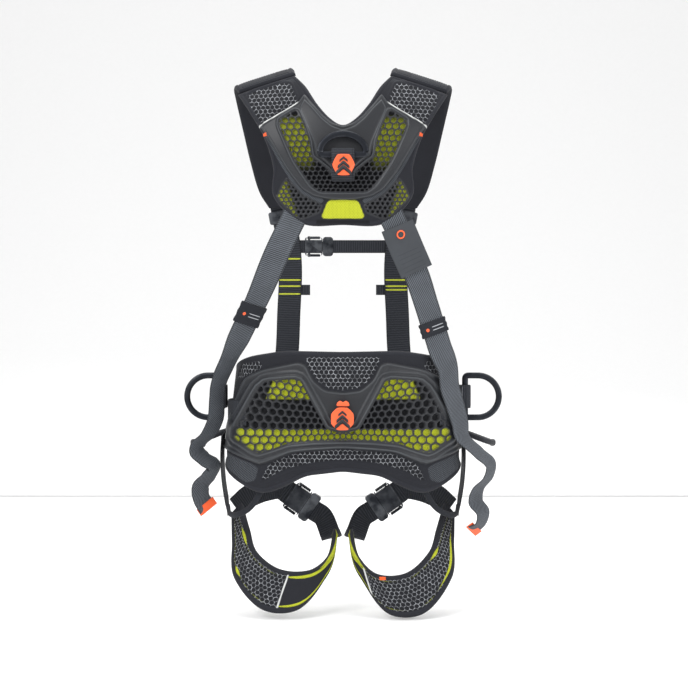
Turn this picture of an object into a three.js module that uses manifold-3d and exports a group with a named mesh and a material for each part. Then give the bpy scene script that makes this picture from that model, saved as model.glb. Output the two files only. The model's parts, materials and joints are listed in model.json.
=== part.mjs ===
// A tree climbing saddle with a full back yoke: waist belt, shoulder yoke, two leg loops and their hardware.
// Millimetres. +Z up, +Y the way the wearer faces, +X the wearer's right. The origin is the middle of the
// wearer's waist, level with the belt, so the back of the saddle lies on the -Y side.
import * as THREE from "three";
import { mergeVertices } from "three/addons/utils/BufferGeometryUtils.js";
import Module from "manifold-3d";

const wasm = await Module();
wasm.setup();

// ---------------------------------------------------------------- driving dimensions
const WEB_WIDE = 45; // load-bearing webbing
const WEB_NARROW = 25; // chest webbing
const WEB_THICK = 2.2;
const GAP = 1.5; // between layers that lie on each other
const PAD_THICK = 12; // foam pad of the waist and legs
const YOKE_THICK = 10;
const SPACER_THICK = 2.5; // knitted spacer mesh over the foam
const SHELL_THICK = 3; // moulded honeycomb shell
const HIP = { halfWidth: 194, flare: 0.116, halfDepth: 118, roundness: 2.3, frontRoundness: 3 };
const BACK = { depth: 118, turnZ: 480, turnRise: 148, turnRun: 80, round: 0.0011, slope: 0.0008 };
const SIDE_RING = { width: 89, reach: 74, bar: 11.5, thick: 10, axisX: 226, axisY: 6, midZ: 38 };
const DORSAL_RING = { width: 92, reach: 48, bar: 12, thick: 8, z: 466 };
const VENTRAL_RING = { width: 66, reach: 54, bar: 10, thick: 10, y: 144, z: -44 };
const CHEST_Z = 324;
const FRONT_STRAP_FOOT = 120; // from the middle to where each front strap meets the belt
const BELT = { z: 11, backHeight: 60, height: WEB_WIDE, socketX: 21, tongueX: 56 };
const LEFT = -1;
const RIGHT = 1;
const NAME = { [LEFT]: "left", [RIGHT]: "right" };

const COLOURS = {
  foam: { color: 0x2a2c31, roughness: 0.95, metalness: 0 },
  webbing: { color: 0x3c4146, roughness: 0.85, metalness: 0 },
  greyWebbing: { color: 0x565c60, roughness: 0.8, metalness: 0 },
  lime: { color: 0xb7cc3c, roughness: 0.9, metalness: 0 },
  shell: { color: 0x35383c, roughness: 0.55, metalness: 0 },
  badge: { color: 0xf4602f, roughness: 0.5, metalness: 0 },
  ring: { color: 0x2c2f33, roughness: 0.4, metalness: 0.8 },
  buckle: { color: 0x26282b, roughness: 0.45, metalness: 0.6 },
  rubber: { color: 0x33363a, roughness: 0.7, metalness: 0 },
  elastic: { color: 0x2d3034, roughness: 0.9, metalness: 0 },
};

// ---------------------------------------------------------------- shape tools
const V = (x, y, z) => new THREE.Vector3(x, y, z);
const mix = THREE.MathUtils.lerp;
const rad = THREE.MathUtils.degToRad;

const saddle = new THREE.Group();
const materials = {};
for (const [name, look] of Object.entries(COLOURS)) {
  materials[name] = new THREE.MeshStandardMaterial(look);
}

function put(name, geometry, material, parent = saddle) {
  const mesh = new THREE.Mesh(geometry, materials[material]);
  mesh.name = name;
  parent.add(mesh);
  return mesh;
}

// Reverses the triangles of a closed mesh whose faces point inwards.
function facingOut(geometry) {
  const at = geometry.attributes.position;
  const index = geometry.index.array;
  const [a, b, c] = [V(), V(), V()];
  let volume = 0;
  for (let i = 0; i < index.length; i += 3) {
    a.fromBufferAttribute(at, index[i]);
    b.fromBufferAttribute(at, index[i + 1]);
    c.fromBufferAttribute(at, index[i + 2]);
    volume += a.dot(b.cross(c));
  }
  if (volume < 0) {
    for (let i = 0; i < index.length; i += 3) {
      [index[i + 1], index[i + 2]] = [index[i + 2], index[i + 1]];
    }
  }
  return geometry;
}

// A box of nu by nv by nw cells, with each corner (u, v, w), from 0 to 1, carried to place(u, v, w).
function carried(nu, nv, nw, place) {
  const geometry = new THREE.BoxGeometry(1, 1, 1, nu, nv, nw);
  const at = geometry.attributes.position;
  for (let i = 0; i < at.count; i++) {
    const p = place(at.getX(i) + 0.5, at.getY(i) + 0.5, at.getZ(i) + 0.5);
    at.setXYZ(i, p.x, p.y, p.z);
  }
  return facingOut(geometry);
}

// A plate between the offsets low and high of the surface at(u, v), measured away from the point inside.
function layer(at, low, high, nu, nv, inside = V(0, 0, 0)) {
  const step = 0.004;
  const normal = (u, v) => {
    const along = at(Math.min(u + step, 1), v).sub(at(Math.max(u - step, 0), v));
    const across = at(u, Math.min(v + step, 1)).sub(at(u, Math.max(v - step, 0)));
    return along.cross(across).normalize();
  };
  const side = normal(0.5, 0.5).dot(at(0.5, 0.5).sub(inside)) < 0 ? -1 : 1;
  return carried(nu, nv, 1, (u, v, w) =>
    at(u, v).addScaledVector(normal(u, v), side * mix(low, high, w)),
  );
}

const curve = (points) => new THREE.CatmullRomCurve3(points, false, "centripetal");

// The surface of a strap: a middle line through points, and for each of them the direction across the strap.
function strapSurface(points, across, width) {
  const middle = curve(points);
  const sideways = curve(across.length === 1 ? [across[0], across[0].clone()] : across);
  return (u, v) => {
    const tangent = middle.getTangent(u);
    const side = sideways.getPoint(u);
    side.addScaledVector(tangent, -side.dot(tangent)).normalize();
    return middle.getPoint(u).addScaledVector(side, (v - 0.5) * width);
  };
}

// Webbing with its middle line through points. It is half its thickness to each side of that line.
function webbing(points, across, { width = WEB_WIDE, thick = WEB_THICK, steps = 24 } = {}) {
  return layer(strapSurface(points, across, width), -thick / 2, thick / 2, steps, 1);
}

// The surface between two edge curves.
function between(edgeA, edgeB) {
  const [a, b] = [curve(edgeA), curve(edgeB)];
  return (u, v) => a.getPoint(u).lerp(b.getPoint(u), v);
}

// A value read off a list of [place, value] pairs with straight lines between them.
function readOff(pairs, place) {
  const next = pairs.findIndex(([at]) => at >= place);
  if (next === 0) return pairs[0][1];
  if (next < 0) return pairs.at(-1)[1];
  const [[a, low], [b, high]] = [pairs[next - 1], pairs[next]];
  return mix(low, high, (place - a) / (b - a));
}

function solid(geometry) {
  const bare = geometry.clone();
  bare.deleteAttribute("normal");
  bare.deleteAttribute("uv");
  const merged = mergeVertices(bare, 1e-4);
  return new wasm.Manifold(
    new wasm.Mesh({
      numProp: 3,
      vertProperties: new Float32Array(merged.attributes.position.array),
      triVerts: new Uint32Array(merged.index.array),
    }),
  );
}

function shown(manifold) {
  const mesh = manifold.getMesh();
  const geometry = new THREE.BufferGeometry();
  geometry.setAttribute("position", new THREE.BufferAttribute(mesh.vertProperties, 3));
  geometry.setIndex(new THREE.BufferAttribute(mesh.triVerts, 1));
  return geometry;
}

const box = (w, d, h, x = 0, y = 0, z = 0) => new THREE.BoxGeometry(w, d, h).translate(x, y, z);
const joined = (...parts) => shown(parts.map(solid).reduce((a, b) => a.add(b)));
const cut = (body, ...tools) => shown(tools.map(solid).reduce((a, b) => a.subtract(b), solid(body)));

// A flat shape given in the XZ plane, thick along Y and centred on it, with its edges broken by bevel.
function flat(shape, thick, bevel = 1) {
  const geometry = new THREE.ExtrudeGeometry(shape, {
    depth: thick - 2 * bevel,
    bevelEnabled: bevel > 0,
    bevelThickness: bevel,
    bevelSize: bevel,
    bevelOffset: -bevel,
    bevelSegments: 1,
    curveSegments: 4,
  });
  geometry.translate(0, 0, bevel - thick / 2).rotateX(Math.PI / 2);
  return indexed(geometry);
}

function indexed(geometry) {
  geometry.deleteAttribute("normal");
  geometry.deleteAttribute("uv");
  return mergeVertices(geometry, 1e-4);
}

function roundedRectangle(width, height, radius) {
  const shape = new THREE.Shape();
  const [x, y] = [width / 2 - radius, height / 2 - radius];
  shape.absarc(x, y, radius, 0, Math.PI / 2);
  shape.absarc(-x, y, radius, Math.PI / 2, Math.PI);
  shape.absarc(-x, -y, radius, Math.PI, 1.5 * Math.PI);
  shape.absarc(x, -y, radius, 1.5 * Math.PI, 2 * Math.PI);
  return shape;
}

// The outline of a D: a straight base on y = low, straight sides and a half ellipse on top.
function dOutline(Kind, width, low, top, straight, corner) {
  const shape = new Kind();
  const half = width / 2;
  shape.absarc(half - corner, low + corner, corner, -Math.PI / 2, 0);
  shape.absellipse(0, low + straight, half, top - low - straight, 0, Math.PI);
  shape.absarc(-half + corner, low + corner, corner, Math.PI, 1.5 * Math.PI);
  return shape;
}

// A D-ring in the XZ plane: the middle of its base bar runs along X through the origin, and it reaches up Z.
function dRing({ width, reach, bar, thick }) {
  const straight = Math.max(reach - width / 2, 8);
  const shape = dOutline(THREE.Shape, width, -bar / 2, reach - bar / 2, straight, 6);
  const inner = dOutline(THREE.Path, width - 2 * bar, bar / 2, reach - 1.5 * bar, straight - bar / 2, 3);
  shape.holes.push(inner);
  return flat(shape, thick, 0);
}

// ---------------------------------------------------------------- the body the saddle fits
// A ring round the hips: the point at the angle turn, from the middle of the back, and the height z.
function hip(turn, z) {
  const wide = HIP.halfWidth - HIP.flare * z;
  const [s, c] = [Math.sin(turn), Math.cos(turn)];
  const power = c > 0 ? HIP.roundness : HIP.frontRoundness;
  const reach = (Math.abs(s / wide) ** power + Math.abs(c / HIP.halfDepth) ** power) ** (-1 / power);
  return V(reach * s, -reach * c, z);
}

// The angle turn at which the hip ring is x from the middle plane, on the back, or as far from the front.
function turnAt(x, z, power = HIP.roundness) {
  const wide = HIP.halfWidth - HIP.flare * z;
  const share = Math.min(Math.abs(x / wide), 0.999) ** power;
  return Math.atan2(x, HIP.halfDepth * (1 - share) ** (1 / power));
}

const frontTurn = (x, z) => Math.PI - turnAt(x, z, HIP.frontRoundness);

// The upper back: a point above x and z, on a back that rounds sideways and turns over at the shoulders.
function upperBack(x, z) {
  const rise = Math.max(z + BACK.slope * x * x - BACK.turnZ, 0) / BACK.turnRise;
  const over = BACK.turnRun * (1 - Math.sqrt(Math.max(1 - rise * rise, 0)));
  return V(x, -BACK.depth + over + BACK.round * x * x, z);
}

const CHEST_MIDDLE = V(0, 0, 430);

// ---------------------------------------------------------------- waist
const padTop = [[0, 121], [45, 123], [70, 112], [90, 96], [110, 58], [126, 34]];
const padBottom = [
  [0, -90], [30, -98], [45, -120], [57, -135], [73, -110], [90, -86], [110, -52], [126, -30],
];
const shellTop = [[0, 50], [25, 54], [45, 72], [60, 104], [110, 106], [166, 84], [190, 50]];
const shellBottom = [[0, -48], [90, -52], [142, -77], [190, -42]];
const PAD_REACH = rad(126);

function waistPad() {
  const at = (u, v) => {
    const turn = mix(-PAD_REACH, PAD_REACH, u);
    const degrees = Math.abs(THREE.MathUtils.radToDeg(turn));
    return hip(turn, mix(readOff(padBottom, degrees), readOff(padTop, degrees), v));
  };
  put("waist_pad", layer(at, 0, PAD_THICK, 44, 3), "foam");
}

// A plate on the waist pad that spans x from -half to half, between two edges read off at |x|.
function waistPlate(half, bottom, top, low, high, nu, nv) {
  const at = (u, v) => {
    const x = mix(-half, half, u);
    const z = mix(readOff(bottom, Math.abs(x)), readOff(top, Math.abs(x)), v);
    return hip(turnAt(x, z), z);
  };
  return layer(at, low, high, nu, nv);
}

function waist() {
  waistPad();
  const spacer = PAD_THICK + GAP;
  const belt = spacer + SPACER_THICK + GAP;
  const shell = belt + WEB_THICK + 1.3 * GAP;
  const spacerBottom = [[0, -58], [90, -62], [142, -84], [176, -64]];
  const spacerTop = [[0, 112], [90, 112], [176, 78]];
  put("waist_spacer", waistPlate(176, spacerBottom, spacerTop, spacer, belt - GAP, 30, 3), "lime");
  put("waist_shell", waistPlate(186, shellBottom, shellTop, shell, shell + SHELL_THICK, 36, 3), "shell");
  const badge = new THREE.CylinderGeometry(22, 22, 3, 6).rotateY(Math.PI / 6);
  const badgeY = -HIP.halfDepth - shell - SHELL_THICK - GAP - 1.5;
  put("waist_badge", indexed(badge.translate(0, badgeY, 4)), "badge");
  beltWebbing(belt);
}

// The belt runs over the pad and all the way round to a buckle that lies on the wearer's right of the middle.
const BELT_OFFSET = PAD_THICK + 2 * GAP + SPACER_THICK;
const BELT_OUTSIDE = BELT_OFFSET + WEB_THICK;

function beltWebbing(backOffset) {
  const start = frontTurn(BELT.socketX, BELT.z) - 2 * Math.PI;
  const end = frontTurn(BELT.tongueX, BELT.z);
  const at = (u, v) => {
    const turn = mix(start, end, u);
    const degrees = Math.abs(THREE.MathUtils.radToDeg(turn));
    const height = readOff([[0, BELT.backHeight], [70, BELT.backHeight], [90, BELT.height]], degrees);
    return hip(turn, BELT.z + (v - 0.5) * height);
  };
  put("waist_belt", layer(at, backOffset, backOffset + WEB_THICK, 60, 1), "webbing");
}

// A point off to the outside of the hip ring.
function outsideHip(turn, z, off) {
  const out = hip(turn + 0.01, z).sub(hip(turn - 0.01, z)).cross(V(0, 0, 1)).normalize();
  return hip(turn, z).addScaledVector(out, off);
}

const alongHip = (turn, z) => hip(turn + 0.01, z).sub(hip(turn - 0.01, z)).normalize();

// ---------------------------------------------------------------- buckles
// A quick-connect buckle about its own origin: X along the strap with the tongue on +X, Y out of the front,
// Z across the strap. The tongue pulls out along +X once both levers are pressed in.
function buckle(prefix, width, place, levers = true) {
  const [height, thick] = [width + 14, 11];
  const socketLength = 34;
  const bladeLength = 12;
  const frameLength = 20;
  const group = new THREE.Group();
  place(group);
  saddle.add(group);

  const tunnel = (length, x) => box(length, WEB_THICK + 3, width + 2, x, -1.6, 0);
  const sides = [1, -1];
  const pivotX = -socketLength + 8;
  const leverZ = height / 2 - 3;
  const notches = sides.map((s) => box(29, thick + 2, 12, pivotX + 9.5, 0, s * (height / 2 - 1)));
  const block = flat(roundedRectangle(socketLength, height, 7), thick, 0);
  const housing = block.translate(-socketLength / 2, 0, 0);
  const mouth = box(bladeLength + 2, 4, height - 17, -bladeLength / 2, 1.4, 0);
  const body = cut(housing, ...notches, mouth, tunnel(14, -socketLength + 5));
  const pins = sides.map((s) =>
    new THREE.CylinderGeometry(1.9, 1.9, thick, 10).translate(pivotX, 0, s * leverZ),
  );
  const webs = sides.map((s) => box(4, 2, 3.4, pivotX, 0, s * (leverZ - 2.6)));
  put(`${prefix}_socket`, joined(body, ...pins, ...webs), "buckle", group);

  const blade = box(bladeLength + 4, 3, height - 19, -bladeLength / 2 + 2, 1.4, 0);
  const nose = flat(roundedRectangle(frameLength, height - 2, 6), thick - 1, 0);
  const noseX = frameLength / 2 + 0.6;
  const frame = cut(nose.translate(noseX, 0, 0), tunnel(frameLength + 6, noseX));
  put(`${prefix}_tongue`, joined(frame, blade), "buckle", group);

  const leverNames = { 1: "upper", "-1": "lower" };
  for (const s of levers ? sides : []) {
    const bar = flat(roundedRectangle(24, 4.6, 2.2), thick - 2, 0);
    const arm = bar.translate(pivotX + 10, 0, s * (height / 2 - 2.4));
    const eye = new THREE.CylinderGeometry(3.6, 3.6, thick - 2, 12).translate(pivotX, 0, s * leverZ);
    const hole = new THREE.CylinderGeometry(2.3, 2.3, thick + 2, 10).translate(pivotX, 0, s * leverZ);
    const slot = box(5, 3, 8, pivotX, 0, s * (leverZ - 4));
    const lever = cut(joined(arm, eye), hole, slot);
    put(`${prefix}_lever_${leverNames[s]}`, lever, "buckle", group);
  }
  return group;
}

// Sets a group halfway from a to b, with its X towards b and its Y as near to facing as it can be.
function aim(group, a, b, facing) {
  const x = b.clone().sub(a).normalize();
  const y = facing.clone().addScaledVector(x, -facing.dot(x)).normalize();
  const z = x.clone().cross(y);
  group.quaternion.setFromRotationMatrix(new THREE.Matrix4().makeBasis(x, y, z));
  group.position.copy(a).lerp(b, 0.5);
}

function waistBuckle() {
  const x = BELT.socketX + 29;
  const at = (place) => outsideHip(frontTurn(place, BELT.z), BELT.z, BELT_OFFSET + WEB_THICK / 2 + 1.6);
  buckle("waist_buckle", WEB_WIDE, (group) => aim(group, at(x - 14), at(x + 14), V(0, 1, 0)));
}

// ---------------------------------------------------------------- yoke
const yokeInner = [[3, 346], [3, 440], [3, 520], [-28, 538], [-46, 560], [-66, 592], [-84, 612]];
const yokeOuter = [[-72, 348], [-122, 398], [-122, 446], [-138, 500], [-160, 540], [-178, 566], [-188, 584]];
const shellInner = [[1, 402], [1, 450], [1, 508], [-30, 524], [-52, 548], [-70, 566]];
const shellOuter = [[-26, 400], [-60, 417], [-86, 452], [-112, 497], [-126, 522], [-138, 536]];

// Half of a panel on the upper back: rows from an inner edge to an outer one, for one side of the body.
function yokeHalf(inner, outer, side, low, high, nu, nv) {
  const onPlane = ([x, z]) => V(x * -side, 0, z);
  const flatHalf = between(inner.map(onPlane), outer.map(onPlane));
  const at = (u, v) => {
    const p = flatHalf(u, v);
    return upperBack(p.x, p.z);
  };
  return layer(at, low, high, nu, nv, CHEST_MIDDLE);
}

function yokePanel(name, inner, outer, low, high, nu, nv, material) {
  const halves = [LEFT, RIGHT].map((side) => yokeHalf(inner, outer, side, low, high, nu, nv));
  put(name, joined(...halves), material);
}

function yoke() {
  const spacer = YOKE_THICK + GAP;
  const shell = spacer + SPACER_THICK + GAP;
  const plate = shell + SHELL_THICK + GAP;
  yokePanel("yoke_pad", yokeInner, yokeOuter, 0, YOKE_THICK, 14, 3, "foam");
  yokePanel("yoke_spacer", shellInner, shellOuter, spacer, spacer + SPACER_THICK, 12, 2, "lime");
  yokePanel("yoke_shell", shellInner, shellOuter, shell, shell + SHELL_THICK, 12, 2, "shell");

  const trimLeft = [[-141, 522], [-128, 500], [-102, 456], [-76, 417], [-54, 398], [-28, 388]];
  const trimRight = trimLeft.toReversed().map(([x, z]) => [-x, z]);
  const trimLine = curve([...trimLeft, ...trimRight].map(([x, z]) => V(x, 0, z)));
  const trimSurface = (u, v) => {
    const p = trimLine.getPoint(u);
    const t = trimLine.getTangent(u);
    return upperBack(p.x - t.z * (v - 0.5) * 11, p.z + t.x * (v - 0.5) * 11);
  };
  put("yoke_trim_band", layer(trimSurface, spacer, spacer + 2, 40, 1, CHEST_MIDDLE), "greyWebbing");

  for (const side of [LEFT, RIGHT]) {
    const lobeInner = [[-36, 372], [-58, 388], [-82, 410], [-106, 446]];
    const lobeOuter = [[-72, 352], [-104, 370], [-118, 396], [-115, 436]];
    const lobe = yokeHalf(lobeInner, lobeOuter, side, spacer, spacer + SHELL_THICK, 14, 3);
    put(`yoke_lobe_${NAME[side]}`, lobe, "shell");
  }
  const lime = (u, v) => upperBack(mix(-1, 1, u) * mix(38, 27, v), mix(361, 379, v));
  put("yoke_lime_panel", layer(lime, spacer, spacer + 1.5, 6, 2, CHEST_MIDDLE), "lime");

  const spine = [[432, 15], [456, 24], [472, 48], [508, 50], [520, 24]];
  const spineSurface = (u, v) => {
    const z = mix(432, 518, v);
    return upperBack(mix(-1, 1, u) * readOff(spine, z), z);
  };
  put("dorsal_plate", layer(spineSurface, plate, plate + 2.5, 6, 8, CHEST_MIDDLE), "shell");
  dorsalRing(plate + 2.5);
}

function dorsalRing(surface) {
  const back = -BACK.depth - surface;
  const y = back - 8.5;
  const { z } = DORSAL_RING;
  put("dorsal_ring", dRing(DORSAL_RING), "ring").position.set(0, y, z);
  // a strap that is sewn down below the ring and wraps its base bar, with room for the bar to turn
  const loop = [V(0, back - 2.2, z - 40), V(0, back - 2.4, z - 24), V(0, y - 5.5, z - 11),
    V(0, y - 9.4, z - 1), V(0, y - 6, z + 8.5), V(0, y + 2, z + 10.5)];
  put("dorsal_loop", webbing(loop, [V(1, 0, 0)], { width: 40, steps: 16 }), "webbing");
  const badge = new THREE.CylinderGeometry(20, 20, 2.4, 6).rotateY(Math.PI / 6);
  put("dorsal_badge", indexed(badge.translate(0, back - 12, z - 34)), "badge");
}

// ---------------------------------------------------------------- shoulders and front straps
function shoulders() {
  for (const side of [LEFT, RIGHT]) {
    const s = -side;
    const inner = [V(-88 * s, -30, 630), V(-92 * s, -2, 634), V(-98 * s, 45, 612), V(-104 * s, 86, 545),
      V(-102 * s, 106, 480), V(-97 * s, 112, 425), V(-100 * s, 114, 396)];
    const outer = [V(-194 * s, -24, 597), V(-200 * s, 2, 600), V(-199 * s, 40, 585), V(-189 * s, 80, 535),
      V(-176 * s, 100, 478), V(-160 * s, 108, 425), V(-142 * s, 112, 396)];
    const pad = layer(between(inner, outer), 0, 11, 18, 2, CHEST_MIDDLE);
    put(`shoulder_pad_${NAME[side]}`, pad, "foam");

    const hipTurn = -s * frontTurn(FRONT_STRAP_FOOT, BELT.z);
    const foot = outsideHip(hipTurn, BELT.z, BELT_OUTSIDE + GAP + WEB_THICK / 2);
    const path = [V(-124 * s, 133, 430), V(-118 * s, 133, 398), V(-112 * s, 133, 366), V(-106 * s, 133, 334),
      V(-102 * s, 133.5, 280), V(-105 * s, 135, 200), V(-111 * s, 136, 100), foot.clone().setZ(45),
      foot.clone().setZ(-4)];
    const footAcross = V(1, 0.27 * s, 0);
    const across = [...new Array(6).fill(V(1, 0, 0)), V(1, 0.12 * s, 0), footAcross, footAcross];
    put(`front_strap_${NAME[side]}`, webbing(path, across, { steps: 28 }), "webbing");

    const adjuster = new THREE.Group();
    aim(adjuster, V(-118 * s, 133, 398), V(-112 * s, 133, 366), V(0, 1, 0));
    saddle.add(adjuster);
    const plate = flat(roundedRectangle(24, WEB_WIDE + 12, 4), 8, 0);
    const slot = box(30, WEB_THICK + 2, WEB_WIDE + 3);
    const windows = [-5, 5].map((x) => box(5, 10, WEB_WIDE - 3, x, 5, 0));
    put(`front_adjuster_${NAME[side]}`, cut(plate, slot, ...windows), "buckle", adjuster);
  }
}

function chest() {
  const y = 136;
  const strap = (from, to) =>
    webbing([V(from, y, CHEST_Z), V(to, y, CHEST_Z)], [V(0, 0, 1)], { width: WEB_NARROW, steps: 6 });
  put("chest_strap_left", strap(-122, -69.5), "webbing");
  put("chest_strap_right", strap(-32, 124), "webbing");
  buckle("chest_buckle", WEB_NARROW, (group) => {
    aim(group, V(-60, y + 1.6, CHEST_Z), V(-20, y + 1.6, CHEST_Z), V(0, 1, 0));
  });
}

// ---------------------------------------------------------------- back straps
const STRAP_CLEAR = 30; // from the body to the straps that run beside the waist pad

// A sleeve round the straight stretch of a strap from a to b, with across along the strap's width.
function sleeve(name, a, b, across, material) {
  const group = new THREE.Group();
  aim(group, a, b, across.clone().cross(b.clone().sub(a)));
  saddle.add(group);
  const length = a.distanceTo(b);
  put(name, cut(box(length, 8, WEB_WIDE + 7), box(length + 4, 5, WEB_WIDE + 3.6)), material, group);
}

function leftBackStrap() {
  const [from, to, across] = [V(-150, -112, 218), V(-184, -92, 150), V(0.9, 0.2, 0.4)];
  const along = (share) => from.clone().lerp(to, share);
  const path = [V(-88, -132, 352), V(-114, -129, 300), from, along(0.33), along(0.67), to, V(-200, -80, 117),
    V(-216, -62, 86), V(-226, -52, 60), V(-229, -50, 36), V(-231, -50, 0), V(-244, -50, -28),
    V(-262, -48, -46), V(-266, -46, -58), V(-252, -42, -74), V(-236, -36, -88), V(-245, -36, -106),
    V(-259, -38, -124), V(-258, -38, -146), V(-245, -36, -166)];
  const tail = new Array(10).fill(V(0.1, 1, 0));
  const sideways = [V(0.8, -0.1, -0.5), V(0.9, 0, -0.2), across, across, across, across, V(0.85, 0.5, 0.3),
    V(0.6, 0.8, 0.2), V(0.2, 1, 0.1), V(0.1, 1, 0), ...tail];
  put("back_strap_left", webbing(path, sideways, { steps: 64 }), "greyWebbing");
  sleeve("strap_keeper_left", along(0.2), along(0.7), across, "elastic");
}

function rightBackStrap() {
  const [from, to, across] = [V(148, -113, 204), V(174, -99, 124), V(0.9, 0.25, 0.3)];
  const along = (share) => from.clone().lerp(to, share);
  const beside = (degrees, z) => outsideHip(rad(degrees), z, STRAP_CLEAR);
  const path = [V(88, -132, 352), V(112, -129, 300), V(132, -121, 252), from, along(0.33), along(0.67), to,
    V(187, -88, 94), beside(70, 58), beside(73, 26), beside(76, -6), beside(78, -34), V(246, -52, -62),
    V(268, -48, -84), V(264, -44, -108), V(246, -40, -130), V(242, -38, -152), V(255, -40, -172),
    V(250, -38, -194), V(234, -36, -206)];
  const hipSide = [[70, 58], [73, 26], [76, -6], [78, -34]].map(([degrees, z]) => alongHip(rad(degrees), z));
  const tail = new Array(8).fill(V(-0.1, 1, 0));
  const sideways = [V(0.8, 0.1, 0.5), V(0.9, 0, 0.4), V(0.9, 0.1, 0.3), across, across, across, across,
    V(0.8, 0.5, 0.2), ...hipSide, ...tail];
  put("back_strap_right", webbing(path, sideways, { steps: 64 }), "greyWebbing");
  sleeve("strap_keeper_right", along(0.35), along(0.65), across, "elastic");
  const label = [V(95, -136, 343), V(112, -134, 302), V(130, -127, 262)];
  const labelAcross = [V(0.8, 0.1, 0.5), V(0.9, 0, 0.4), V(0.9, 0.1, 0.3)];
  put("label_panel", webbing(label, labelAcross, { width: 60, thick: 1.6, steps: 8 }), "rubber");
}

// ---------------------------------------------------------------- side rings, gear loops, ventral ring
function sides() {
  for (const side of [LEFT, RIGHT]) {
    const { axisX, axisY, midZ } = SIDE_RING;
    const ring = put(`side_ring_${NAME[side]}`, dRing(SIDE_RING), "ring");
    ring.position.set(side * axisX, axisY, midZ);
    ring.rotation.set(0, side * Math.PI / 2, 0);
    const near = side * (axisX - 9.2);
    const far = side * (axisX + 9.5);
    const waist = near + side;
    const shoulder = side * (axisX + 3);
    const half = [V(near, axisY - 30, midZ), V(waist, axisY - 14, midZ), V(shoulder, axisY - 10, midZ)];
    const backHalf = half.toReversed().map((p) => V(p.x, 2 * axisY - p.y, p.z));
    const loop = [...half, V(far, axisY, midZ), ...backHalf];
    const wrapped = webbing(loop, [V(0, 0, 1)], { width: WEB_WIDE - 2, steps: 24 });
    put(`ring_loop_${NAME[side]}`, wrapped, "webbing");

    const tube = curve([V(side * 212, 26, -24), V(side * 236, 18, -34), V(side * 266, 14, -45),
      V(side * 281, 42, -50), V(side * 266, 70, -45), V(side * 236, 76, -34), V(side * 206, 66, -24)]);
    const section = new THREE.Shape().absarc(0, 0, 4.2, 0, 2 * Math.PI);
    const loopBody = new THREE.ExtrudeGeometry(section, { steps: 22, extrudePath: tube, curveSegments: 4 });
    put(`gear_loop_${NAME[side]}`, indexed(loopBody), "rubber");
  }
}

function ventral() {
  const { y, z } = VENTRAL_RING;
  const ring = put("ventral_ring", dRing(VENTRAL_RING), "ring");
  ring.position.set(0, y + 10, z);
  ring.rotation.x = Math.PI;
  const [back, front] = [y + 1, y + 19];
  const round = (a) => V(0, y + 10 + 9.6 * Math.cos(rad(a)), z + 9.6 * Math.sin(rad(a)));
  const wrap = [180, 225, 270, 315, 360].map(round);
  const loop = [V(0, back, 38), V(0, back, 0), V(0, back, z + 14), ...wrap, V(0, front - 2, z + 14),
    V(0, back + 4.5, z + 38), V(0, back + 4, 12), V(0, back + 4, 38)];
  put("ventral_loop", webbing(loop, [V(1, 0, 0)], { width: 24, steps: 30 }), "webbing");
}

// ---------------------------------------------------------------- leg loops
const onBuckle = (group, x) => group.localToWorld(V(x, -1.6, 0));

function leg(side) {
  const s = -side;
  const drop = side === RIGHT ? 7 : 0;
  const inner = [V(-186 * s, 44, -166), V(-170 * s, -6, -208), V(-155 * s, -42, -245),
    V(-112 * s, -70, -272 - drop), V(-66 * s, -68, -274 - drop), V(-32 * s, -34, -254), V(-20 * s, 20, -212)];
  const outer = [V(-204 * s, 52, -188), V(-201 * s, -10, -236), V(-195 * s, -62, -290),
    V(-142 * s, -98, -340 - drop), V(-84 * s, -98, -341 - drop), V(-38 * s, -60, -296), V(-12 * s, 14, -224)];
  const legMiddle = V(-105 * s, 20, -180);
  put(`leg_pad_${NAME[side]}`, layer(between(inner, outer), 0, PAD_THICK, 24, 2, legMiddle), "foam");

  const group = buckle(`leg_buckle_${NAME[side]}`, WEB_WIDE, (frame) => {
    aim(frame, V(-98 * s, 100, -154), V(-48 * s, 94, -188), V(0, 1, 0.1));
  }, false);
  group.updateMatrixWorld();
  const across = onBuckle(group, 0).sub(group.localToWorld(V(0, -1.6, -1))).multiplyScalar(s);
  const outerPath = [V(-203 * s, 72, -176), V(-180 * s, 86, -156), V(-146 * s, 97, -143),
    onBuckle(group, -54), onBuckle(group, -40), onBuckle(group, -29)];
  const outerAcross = [V(0.1 * s, 0.1, 1), V(0, 0, 1), V(0.1 * s, 0, 1), across, across, across];
  put(`leg_strap_${NAME[side]}`, webbing(outerPath, outerAcross, { steps: 20 }), "webbing");
  const innerPath = [onBuckle(group, 4), onBuckle(group, 24), onBuckle(group, 42), V(-25 * s, 76, -224),
    V(-22 * s, 36, -230)];
  const innerAcross = [across, across, across, V(0.9 * s, 0, 0.6), V(s, -0.1, 0.2)];
  put(`leg_inner_strap_${NAME[side]}`, webbing(innerPath, innerAcross, { steps: 16, width: 40 }), "webbing");

  const riser = [V(-220 * s, -10, -28), V(-223 * s, 2, -70), V(-222 * s, 24, -120), V(-216 * s, 48, -170)];
  put(`leg_riser_${NAME[side]}`, webbing(riser, [V(0, 1, 0)], { width: 38, steps: 10 }), "webbing");
  const elastic = [V(-150 * s, -84, -136), V(-172 * s, -70, -168), V(-196 * s, -54, -196),
    V(-209 * s, -36, -216)];
  const band = webbing(elastic, [V(0.5 * s, 0.8, 0.3)], { width: 22, thick: 1.8, steps: 10 });
  put(`leg_elastic_${NAME[side]}`, band, "elastic");
}

waist();
waistBuckle();
yoke();
shoulders();
chest();
leftBackStrap();
rightBackStrap();
sides();
ventral();
leg(LEFT);
leg(RIGHT);

export default saddle;
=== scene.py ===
"""A tree climbing saddle: its fabric, webbing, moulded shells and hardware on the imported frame."""

import json
import math

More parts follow.
